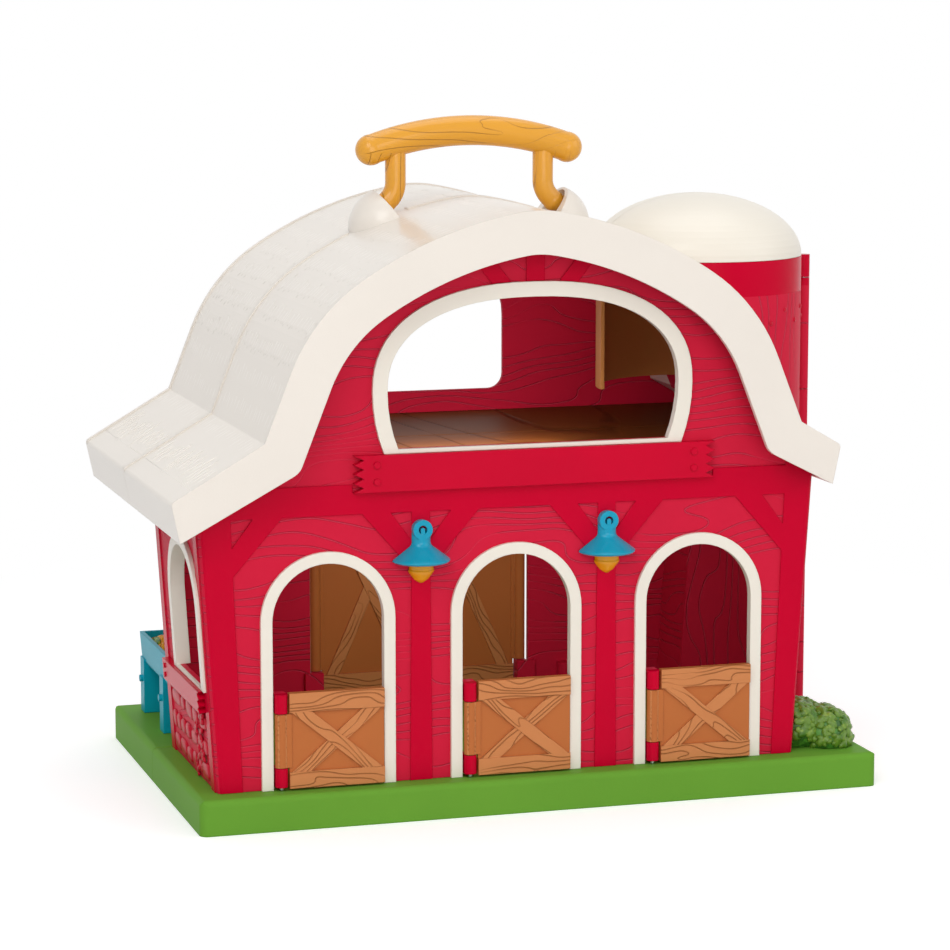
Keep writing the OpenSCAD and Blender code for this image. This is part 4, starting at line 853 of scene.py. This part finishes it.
@dataclass
class Stonework:
    """Moulded stones and a climbing plant low on the left wall, under the sill plank."""

    span_y_mm: tuple[float, float] = (-89.5, -9.5)
    span_z_mm: tuple[float, float] = (0.8, 36.0)
    course_mm: float = 8.9
    joint_mm: float = 1.1
    proud_mm: float = 1.1
    stone_mm: tuple[float, float] = (8.5, 17.0)
    least_mm: float = 6.0
    end_mm: float = 4.0
    corners: int = 14
    squareness: float = 0.6
    stem_foot_mm: tuple[float, float] = (-66.0, 1.0)
    stem_mm: float = 0.8
    stem_points: int = 28
    stem_run_mm: tuple[float, float, float] = (-15.0, 4.5, 33.0)
    stem_sway: float = 9.0
    petals: int = 5
    petal_size: tuple[float, float, float] = (0.75, 0.85, 1.0)
    flower_mm: tuple[tuple[float, float], ...] = ((-17.0, 32.0), (-2.0, 24.0), (-14.0, 13.0))

    def place(self, y: float, up: float, out: float) -> Vector:
        """Gives a point of the leaning wall from its place across, up and out of the face."""
        a = math.radians(FLARE_DEG)
        foot_x, foot_z = LEFT_FOOT_MM
        x = foot_x - up * math.sin(a) - out * math.cos(a)
        return Vector((x, y, foot_z + up * math.cos(a) - out * math.sin(a))) * MM

    def out(self) -> Vector:
        """Gives the wall's outward direction."""
        return Vector((-math.cos(math.radians(FLARE_DEG)), 0, -math.sin(math.radians(FLARE_DEG))))

    def stones(self, chance: random.Random) -> list[Spot]:
        """Lays the stones in courses, each with its own length."""
        found = []
        low, high = self.span_z_mm
        rows = int((high - low) / self.course_mm)
        for row in range(rows):
            up = low + (row + 0.5) * (high - low) / rows
            y, end = self.span_y_mm
            while y < end - self.end_mm:
                length = min(chance.uniform(*self.stone_mm), end - y)
                if end - y - length < self.least_mm:
                    length = end - y
                wide = (self.course_mm - self.joint_mm) * chance.uniform(0.82, 1.1)
                size = Vector((length - self.joint_mm, wide, chance.uniform(0.75, 1.25)))
                tilt = Vector((0, 1, chance.uniform(-0.12, 0.12)))
                found.append(Spot(self.place(y + length / 2, up + chance.uniform(-0.4, 0.4), 0.0),
                                  turn_to(tilt, self.out()), size))
                y += length
        return found

    def build(self, stone: bpy.types.Material) -> None:
        """Builds the stones, the stem, its leaves and its flowers."""
        chance = random.Random(23)
        outline = []
        for k in range(self.corners):
            a = 2 * math.pi * k / self.corners
            outline.append(tuple(0.5 * MM * math.copysign(abs(v) ** self.squareness, v)
                                 for v in (math.cos(a), math.sin(a))))
        top = self.proud_mm * MM
        rings = [(1.0, -0.2 * MM), (1.0, 0.25 * top), (0.93, 0.7 * top), (0.75, top)]
        pillow = Workshop.cushion("wall_stone", rings, outline)
        made = Workshop.spread("wall_stones", self.stones(chance), pillow, stone, jitter=0.0, seed=7)
        stem = self.climber(stone, chance)
        for piece in (made, *stem):
            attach(piece, "front_half")

    def climber(self, finish: bpy.types.Material, chance: random.Random) -> list[bpy.types.Object]:
        """Builds a plant that winds up over the stones.

        Args:
            finish: the plant's material.
            chance: the source of its small differences.

        Returns:
            The stem, the leaves and the petals.
        """
        foot_y, foot_up = self.stem_foot_mm
        run, sway, rise = self.stem_run_mm
        route, leaves, petals = [], [], []
        for i in range(self.stem_points + 1):
            t = i / self.stem_points
            y, up = foot_y + run * t + sway * math.sin(t * self.stem_sway), foot_up + rise * t
            route.append(self.place(y, up, self.proud_mm * 0.9))
            if i % 3 == 2:
                side = 1 if i % 2 else -1
                along = Vector((0, side, 0.7 + chance.uniform(-0.3, 0.3)))
                leaves.append(Spot(self.place(y + side * 0.6, up, self.proud_mm), turn_to(along, self.out())))
        for off_y, off_up in self.flower_mm:
            middle = self.place(foot_y + off_y, foot_up + off_up, self.proud_mm + 0.2)
            for k in range(self.petals):
                a = 2 * math.pi * k / self.petals
                turn = turn_to(Vector((0, math.cos(a), math.sin(a))), self.out())
                petals.append(Spot(middle, turn, Vector(self.petal_size)))
        edge = [(1.2, 1.1), (3.0, 1.5), (4.6, 0.9)]
        blade = [(0.1, 0.0), *edge, (5.6, 0.0), *((x, -y) for x, y in reversed(edge))]
        outline = [(x * MM, y * MM) for x, y in blade]
        pieces = [Workshop.tube("wall_plant_stem", route, self.stem_mm * MM, finish)]
        for label, spots in (("wall_plant_leaves", leaves), ("wall_plant_flowers", petals)):
            rings = [(1.0, -0.5 * MM), (0.98, 0.25 * MM), (0.7, 0.7 * MM)]
            leaf = Workshop.cushion("plant_blade", rings, outline)
            pieces.append(Workshop.spread(label, spots, leaf, finish, jitter=0.12, seed=9))
        return pieces


@dataclass
class Thatch:
    """Rows of short moulded strokes that run down both halves of the roof."""

    ridge_x_mm: float = -6.65
    reach_mm: tuple[float, float] = (181.0, 155.5)
    row_mm: float = 15.0
    gap_mm: float = 4.8
    stroke_mm: tuple[float, float, float] = (8.5, 1.3, 0.1)
    eave_stroke_mm: tuple[float, float, float] = (17.0, 1.7, 0.4)
    eave_row_mm: float = 24.0
    bare_eave_mm: float = 13.5
    sound_y_mm: float = -62.0
    halves: dict[str, tuple[float, float]] = field(
        default_factory=lambda: {"front_half": (-113.0, -5.0), "back_half": (5.0, 97.0)})
    silo_clear_mm: float = 61.0
    start_mm: float = 12.0
    above_mm: float = 400.0
    bed_mm: float = 0.04
    end_line_mm: tuple[float, float] = (0.3, 0.16)
    steps_per_mm: int = 8
    boss_mm: tuple[float, float, float] = (-48.65, 37.35, 24.0)

    def walk(self, roof: BVHTree, side: int) -> list[tuple[Vector, Vector]]:
        """Walks down one side of the roof's surface in steps of about a millimetre.

        Args:
            roof: the roof's surface.
            side: -1 for the left side, +1 for the right one.

        Returns:
            Points and outward normals, in metres, from the ridge to the eave.
        """
        steps: list[tuple[Vector, Vector]] = []
        reach = self.reach_mm[0 if side < 0 else 1]
        for i in range(int(reach * self.steps_per_mm)):
            x = self.ridge_x_mm + side * i / self.steps_per_mm
            start = Vector((x, self.sound_y_mm, self.above_mm)) * MM
            spot, normal, _, _ = roof.ray_cast(start, Vector((0, 0, -1)))
            if spot is not None and (not steps or (spot - steps[-1][0]).length >= 1 * MM):
                steps.append((spot, normal))
        return steps

    def clear(self, x: float, y: float) -> bool:
        """Says whether a place is clear of the silo and the handle's bosses."""
        left, right, reach = self.boss_mm
        near = min(math.hypot(x - left, y), math.hypot(x - right, y))
        return near > reach and math.hypot(x - SILO_MM[0], y) > self.silo_clear_mm

    def stroke(self) -> bpy.types.Object:
        """Makes one stroke of unit length: a low ridge, round above and pointed below."""
        rings = [(-0.5, 0.35, 0.2), (-0.3, 0.9, 0.85), (0.0, 1.0, 1.0), (0.28, 0.6, 0.7), (0.5, 0.08, 0.1)]
        n = 5
        points = [(s * MM, 0.5 * w * MM * math.cos(a), h * MM * math.sin(a))
                  for s, w, h in rings for a in (math.pi * k / (n - 1) for k in range(n))]
        faces = Workshop.quads(len(rings), n, closed=False)
        faces += [(i * n, (i + 1) * n, (i + 2) * n - 1, (i + 1) * n - 1) for i in range(len(rings) - 1)]
        faces += [range(n), range(len(points) - 1, len(points) - 1 - n, -1)]
        return Workshop.link("thatch_stroke", Workshop.mesh("thatch_stroke", points, faces))

    def row(self, walk: list[tuple[Vector, Vector]], at: float, low: float, high: float,
            shape: tuple[float, float, float], chance: random.Random) -> list[Spot]:
        """Places one row of strokes.

        Args:
            walk: the way down the roof.
            at: how far down the row's middle lies, in steps.
            low: the row's first depth in Y.
            high: its last one.
            shape: each stroke's length, width and height in millimetres.
            chance: the source of the small differences.

        Returns:
            The strokes' spots.
        """
        found = []
        y = low + chance.uniform(0, self.gap_mm)
        while y < high:
            i = int(at + chance.uniform(-0.2, 0.2) * shape[0])
            spot, normal = walk[max(0, min(i, len(walk) - 1))]
            if self.clear(spot.x / MM, y):
                ahead = walk[min(i + 2, len(walk) - 1)][0] - walk[max(0, min(i - 2, len(walk) - 3))][0]
                ahead.y = ahead.length * chance.uniform(-0.14, 0.14)
                place = Vector((spot.x, y * MM, spot.z)) - normal * self.bed_mm * MM
                size = Vector((shape[0] * chance.uniform(0.7, 1.2), shape[1], shape[2]))
                found.append(Spot(place, turn_to(ahead, normal), size))
            y += self.gap_mm * chance.uniform(0.6, 1.5)
        return found

    def build(self, frame: dict, finish: bpy.types.Material) -> None:
        """Builds the strokes of both halves and the line that ends them on each eave."""
        mesh = frame["nodes"]["roof_front"].data
        roof = BVHTree.FromPolygons([v.co for v in mesh.vertices], [p.vertices for p in mesh.polygons])
        walks = {side: self.walk(roof, side) for side in (-1, 1)}
        for seed, (body, (low, high)) in enumerate(self.halves.items(), start=11):
            chance = random.Random(seed)
            spots: list[Spot] = []
            for walk in walks.values():
                end = len(walk) - self.bare_eave_mm
                at = self.start_mm
                while at < end - self.eave_row_mm:
                    spots += self.row(walk, at, low, high, self.stroke_mm, chance)
                    at += self.row_mm
                middle = end - self.eave_stroke_mm[0] / 2
                spots += self.row(walk, middle, low, high, self.eave_stroke_mm, chance)
            made = Workshop.spread(f"thatch_{body}", spots, self.stroke(), finish, jitter=0.15, seed=seed)
            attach(made, body)
            for side, walk in walks.items():
                self.end_line(body, side, walk, low, high, finish)

    def end_line(self, body: str, side: int, walk: list[tuple[Vector, Vector]], low: float, high: float,
                 finish: bpy.types.Material) -> None:
        """Lays the thin line that ends the thatch above an eave.

        Args:
            body: the half that it rides on.
            side: -1 for the left eave, +1 for the right one.
            walk: the way down the roof.
            low: its first depth in Y, in millimetres.
            high: its last one.
            finish: its material.
        """
        spot, normal = walk[len(walk) - int(self.bare_eave_mm)]
        ahead = Vector((normal.z, 0, -normal.x)) * side
        half, lift = (v * MM for v in self.end_line_mm)
        points = []
        for y in (low * MM, high * MM):
            middle = Vector((spot.x, y, spot.z))
            points += [middle - ahead * half - normal * lift, middle + normal * lift,
                       middle + ahead * half - normal * lift]
        faces = [(0, 1, 4, 3), (1, 2, 5, 4), (2, 0, 3, 5), (0, 2, 1), (3, 4, 5)]
        name = f"eave_line_{body}_{'left' if side < 0 else 'right'}"
        made = Workshop.link(name, Workshop.mesh(name, points, faces), finish)
        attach(made, body)
        LOG.info("%s laid", name)


@dataclass
class Bush:
    """A moulded bush: small plump leaves in clusters over the CAD mound."""

    leaf_mm: tuple[float, float, float] = (5.2, 3.4, 1.3)
    count: int = 760
    corners: int = 8
    rings: tuple[tuple[float, float], ...] = ((0.9, -0.3), (1.0, 0.2), (0.75, 0.7), (0.3, 1.0))
    bare_mm: tuple[float, float, float] = (2.5, 3.0, 0.8)

    def leaf(self) -> bpy.types.Object:
        """Makes one plump leaf with a raised middle."""
        length, width, height = (v * MM for v in self.leaf_mm)
        outline = [(0.5 * length * math.cos(a), 0.5 * width * math.sin(a) * (1 - 0.25 * math.cos(a)))
                   for a in (2 * math.pi * k / self.corners for k in range(self.corners))]
        return Workshop.cushion("bush_leaf", [(share, up * height) for share, up in self.rings], outline)

    def build(self, frame: dict, finish: bpy.types.Material) -> None:
        """Sets the leaves on the mound."""
        mound = frame["nodes"]["bush"].data
        chance = random.Random(5)
        low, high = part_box("bush")
        left, right, foot = (v * MM for v in self.bare_mm)
        faces = [p for p in mound.polygons if p.normal.z > -0.3 and p.center.z > low.z + foot]
        spots = []
        for face in chance.choices(faces, weights=[p.area for p in faces], k=self.count):
            a, b, c = (mound.vertices[v].co for v in face.vertices[:3])
            s, t = sorted((chance.random(), chance.random()))
            place = a * s + b * (t - s) + c * (1 - t)
            fall = Vector((chance.uniform(-1, 1), chance.uniform(-1, 1), chance.uniform(-0.9, 0.3)))
            along = fall - fall.project(face.normal) * 0.7
            if low.x + left < place.x < high.x - right:
                spots.append(Spot(place - face.normal * 0.2 * MM, turn_to(along, Vector(face.normal))))
        made = Workshop.spread("bush_leaves", spots, self.leaf(), finish, jitter=0.3, seed=3)
        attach(made, "front_half")


@dataclass
class Cobs:
    """Corn cobs heaped in the trough, each with rows of kernels and a split husk."""

    cob_mm: tuple[float, float] = (25.0, 4.6)
    kernel_mm: float = 1.25
    rows: int = 11
    per_row: int = 13
    sink_mm: float = 1.2
    swell: tuple[float, float, float] = (0.14, 0.76, 0.6)
    kernel_bed: float = 0.86
    crown_mm: float = 4.0
    husk_share: float = 0.72
    husk_shells: tuple[float, float] = (1.16, 1.04)
    husk_half_deg: float = 46.0
    husk_points: tuple[int, int] = (7, 5)
    lanes: tuple[float, float] = (0.30, 0.72)
    ends_mm: tuple[float, float] = (12.5, 12.0)
    spacing_mm: float = 21.5
    rolls: tuple[float, float] = (2.0, -1.1)

    def body(self, share: float) -> float:
        """Gives the cob's radius, in metres, at a share of its length."""
        start, span, power = self.swell
        return self.cob_mm[1] * MM * math.sin(math.pi * (start + span * share)) ** power

    def cob(self, corn: bpy.types.Material) -> bpy.types.Object:
        """Makes one cob of kernels in rows around its axis."""
        length = self.cob_mm[0] * MM
        spots = []
        for i in range(self.per_row):
            share = (i + 0.5) / self.per_row
            for k in range(self.rows):
                a = 2 * math.pi * (k + 0.5 * (i % 2)) / self.rows
                out = Vector((0, math.cos(a), math.sin(a)))
                place = Vector(((share - 0.5) * length, 0, 0)) + out * self.body(share) * self.kernel_bed
                size = self.body(share) / (self.cob_mm[1] * MM)
                spots.append(Spot(place, turn_to(Vector((1, 0, 0)), out), Vector((1, size, 1))))
        r = self.kernel_mm * MM
        outline = [(r * math.cos(a), r * math.sin(a)) for a in (math.pi * k / 3 for k in range(6))]
        kernel = Workshop.cushion("corn_kernel", [(0.9, -0.5 * r), (1.0, 0.2 * r), (0.6, 0.85 * r)], outline)
        return Workshop.spread("corn_cob", spots, kernel, corn, jitter=0.05, seed=2)

    def husk(self) -> bpy.types.Object:
        """Makes one husk leaf, curled around half of a cob's foot."""
        rows, n = self.husk_points
        points = []
        for shell in self.husk_shells:
            for i in range(rows):
                share = i / (rows - 1)
                x = (share * self.husk_share - 0.53) * self.cob_mm[0] * MM
                r = self.body(0.08 + share * 0.62) * shell + 0.9 * MM * share**3
                wide = math.radians(self.husk_half_deg) * math.sin(math.pi * (0.32 + 0.66 * share))
                for k in range(n):
                    a = wide * (2 * k / (n - 1) - 1)
                    points.append((x, r * math.sin(a), r * math.cos(a)))
        half = rows * n
        faces = [face for start in (0, half) for face in Workshop.quads(rows, n, closed=False, start=start)]
        rim = [i * n for i in range(rows)] + [(rows - 1) * n + k for k in range(1, n)]
        rim += [i * n + n - 1 for i in range(rows - 2, -1, -1)] + list(range(n - 2, 0, -1))
        faces += [(a, b, b + half, a + half) for a, b in zip(rim, rim[1:] + rim[:1])]
        LOG.info("husk leaf of %.1f mm", self.husk_share * self.cob_mm[0])
        return Workshop.link("cob_husk", Workshop.mesh("cob_husk", points, faces))

    def build(self, corn: bpy.types.Material, leaf: bpy.types.Material) -> None:
        """Heaps the cobs on the feed."""
        low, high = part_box("trough_feed")
        chance = random.Random(31)
        cobs, husks = [], []
        first, last = (v * MM for v in self.ends_mm)
        for lane in self.lanes:
            y = low.y + first
            while y < high.y - last:
                x = low.x + (high.x - low.x) * lane + chance.uniform(-1, 1) * MM
                z = high.z - self.sink_mm * MM - abs(lane - 0.5) * self.crown_mm * MM
                swing = chance.uniform(-0.35, 0.35) + (math.pi if chance.random() < 0.5 else 0)
                along = Vector((math.sin(swing), math.cos(swing), chance.uniform(-0.06, 0.06)))
                cobs.append(Spot(Vector((x, y, z)), turn_to(along, Vector((0, 0, 1)))))
                for roll in self.rolls:
                    up = Matrix.Rotation(roll, 3, along.normalized()) @ Vector((0, 0, 1))
                    husks.append(Spot(Vector((x, y, z)), turn_to(along, up)))
                y += self.spacing_mm * MM
        for name, spots, piece, finish in (("trough_cobs", cobs, self.cob(corn), corn),
                                           ("trough_husks", husks, self.husk(), leaf)):
            made = Workshop.spread(name, spots, piece, finish, jitter=0.04, seed=6)
            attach(made, "back_half")


@dataclass
class Trim:
    """Cream roof and frames, tan doors, lamps, base, trough and bush, with the relief on them."""

    front_door_mm: tuple[float, float, float] = (-104.05, 40.6, 14.4)
    back_door_mm: tuple[float, float, float] = (92.45, 75.55, 46.95)
    front_tilt: float = -40.2
    back_tilt: float = -63.1

    def doors(self, frame: dict) -> None:
        """Dresses the stall doors and the large back doors."""
        # Tan ABS with engraved boards: the dark grain tells rails and straps from the smooth panels. The
        # smooth parts take a darker tan, which on the recessed panels is painted shade.
        tan = {"colour": "CC8350", "roughness": 0.42, "specular": 0.15, "line_pitch_mm": 2.9, "line_mm": 0.75,
               "line_depth_mm": 0.4, "wave_mm": (30.0, 9.0), "waviness": 6.5, "line_tone": "8E4C20",
               "line_share": 0.5, "smooth_colour": "BC6C38", "smooth_roughness": 0.36, "edge_mm": 0.4}
        stall_doors = ["door_left", "door_middle", "door_right"]
        leaves = {"stall_doors": (stall_doors, self.front_door_mm, self.front_tilt),
                  "back_door_one": (["back_door_left"], self.back_door_mm, self.back_tilt),
                  "back_door_two": (["back_door_right"], self.back_door_mm, -self.back_tilt)}
        for name, (nodes, (mid_y, mid_z, half), tilt) in leaves.items():
            boards = BracedDoorPlastic(name, mid_y_mm=mid_y, mid_z_mm=mid_z, open_half_mm=half,
                                       strap_tilt=tilt, **tan)
            dress(nodes, boards, frame)

    def shells(self, frame: dict) -> None:
        """Dresses the nodes that one finish covers whole."""
        finishes: list[tuple[MouldedPlastic | DrawnSteel, list[str]]] = [
            # Thin cream shell with a sheen: long soft highlights follow its curves
            (MouldedPlastic("cream_roof", "E9E1D7", 0.3, gloss_coat=0.2, edge_mm=0.6, **CREAM),
             ["roof_front", "roof_back"]),
            # The same cream without the sheen: flat bright bands around the openings
            (MouldedPlastic("cream_trim", "EBE4D7", 0.34, **CREAM),
             ["door_frame_left", "door_frame_middle", "door_frame_right", "loft_window_frame",
              "side_window_frame", "silo_dome_front", "silo_dome_back"]),
            # Coarsely eroded tray: the grit breaks up the highlight, so it reads as matt
            (MouldedPlastic("green_base", "6AA038", 0.42, specular=0.02, grit_mm=1.1, grit_depth_mm=0.04,
                            edge_mm=1.2), ["base_front", "base_back"]),
            # Polished lamp shades: small crisp highlights
            (MouldedPlastic("gloss_turquoise", "009CBC", 0.2, specular=0.14, gloss_coat=0.35),
             ["lamp_shade_left", "lamp_shade_right"]),
            # Duller turquoise: the trough stays behind the lamps to the eye
            (MouldedPlastic("turquoise_trough", "0AA2B8", 0.36, specular=0.12), ["trough"]),
            # Polished opaque bulbs: they shine like glass without letting light through
            (MouldedPlastic("mustard_bulb", "E89A08", 0.22, specular=0.3, gloss_coat=0.3),
             ["lamp_bulb_left", "lamp_bulb_right"]),
            # Solid mustard handle worn smooth by hands: bright sheen over fine grain
            (GrainedPlastic("mustard_handle", "E4A02C", 0.24, specular=0.3, gloss_coat=0.3,
                            run=GrainRun.DOWN_THE_HANDLE, line_pitch_mm=6.0, line_mm=0.55,
                            line_depth_mm=0.3, wave_mm=(52.0, 13.0), waviness=3.6, line_tone="A86A10",
                            line_share=0.55, edge_mm=0.8), ["handle"]),
            # Matt brown boards: dark grain, and little sheen inside the loft
            (GrainedPlastic("brown_loft_floor", "6A3A18", 0.5, specular=0.06, line_pitch_mm=6.0,
                            line_tone="3E1E0A", line_share=0.5), ["loft_floor_front", "loft_floor_back"]),
            # Plain tan insert: no grain, so it reads as a lining
            (MouldedPlastic("tan_liner", "D08A4A", 0.5, specular=0.3), ["silo_liner_back"]),
            # Darker core of the bush: painted shade in the gaps between its leaves
            (MottledPlastic("bush_mound_painted_shade", "3C7420", 0.4, second="2C5A18", third="4E8A2A"), ["bush"]),
            # Brushed paint between the cobs: ochre with brown and green, darker than the corn
            (MottledPlastic("painted_feed", "B98A22", 0.4, second="8A5A18", third="6E7A24"), ["trough_feed"]),
            (DrawnSteel(),
             ["door_pins", "back_door_pins", "barn_hinge_pin", "base_screws_front", "base_screws_back"]),
        ]
        for finish, nodes in finishes:
            dress(nodes, finish, frame)

    def relief(self, frame: dict) -> None:
        """Builds the thatch, the leaves, the cobs, the stones and the nail heads."""
        # The roof's cream, a little paler: painted highlight on the raised thatch strokes
        straw = MouldedPlastic("cream_thatch_painted_highlight", "F1EBE3", 0.3, gloss_coat=0.2, edge_mm=0.05, **CREAM)
        # Shiny sprayed foliage: each leaf has its own small highlight
        leaf = MottledPlastic("bush_leaf_green", "64882A", 0.3, specular=0.4, second="44701A",
                              third="7E9C38", second_from=0.52, third_from=0.56)
        # Sprayed kernels: yellow that browns in patches
        corn = MottledPlastic("painted_corn", "E8A81C", 0.32, specular=0.2, second="C8741A", third="7E8A22",
                              patch_mm=5.0, fleck_mm=16.0, second_from=0.54, third_from=0.68)
        # Dull green husks: they set the cobs apart
        husk = MottledPlastic("husk_green", "5E8A26", 0.4, specular=0.15, second="3A6E1C", third="8E9A30")
        # Moulded with the red walls, smoother than their boards: the relief shines a little more
        red = MouldedPlastic("gloss_red_relief", "C41430", 0.3, specular=0.1, gloss_coat=0.03).material()
        Thatch().build(frame, straw.material())
        Bush().build(frame, leaf.material())
        Cobs().build(corn.material(), husk.material())
        Stonework().build(red)
        SiloNails().build(red)

    def build(self, frame: dict) -> None:
        """Dresses the nodes and builds the relief on them."""
        self.doors(frame)
        self.shells(frame)
        self.relief(frame)


def main() -> None:
    """Builds the looks of the whole toy."""
    logging.basicConfig(level=logging.INFO, format="%(name)s: %(message)s")
    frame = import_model()
    Studio().build()
    Walls().build(frame)
    Trim().build(frame)


if __name__ == "__main__":
    main()
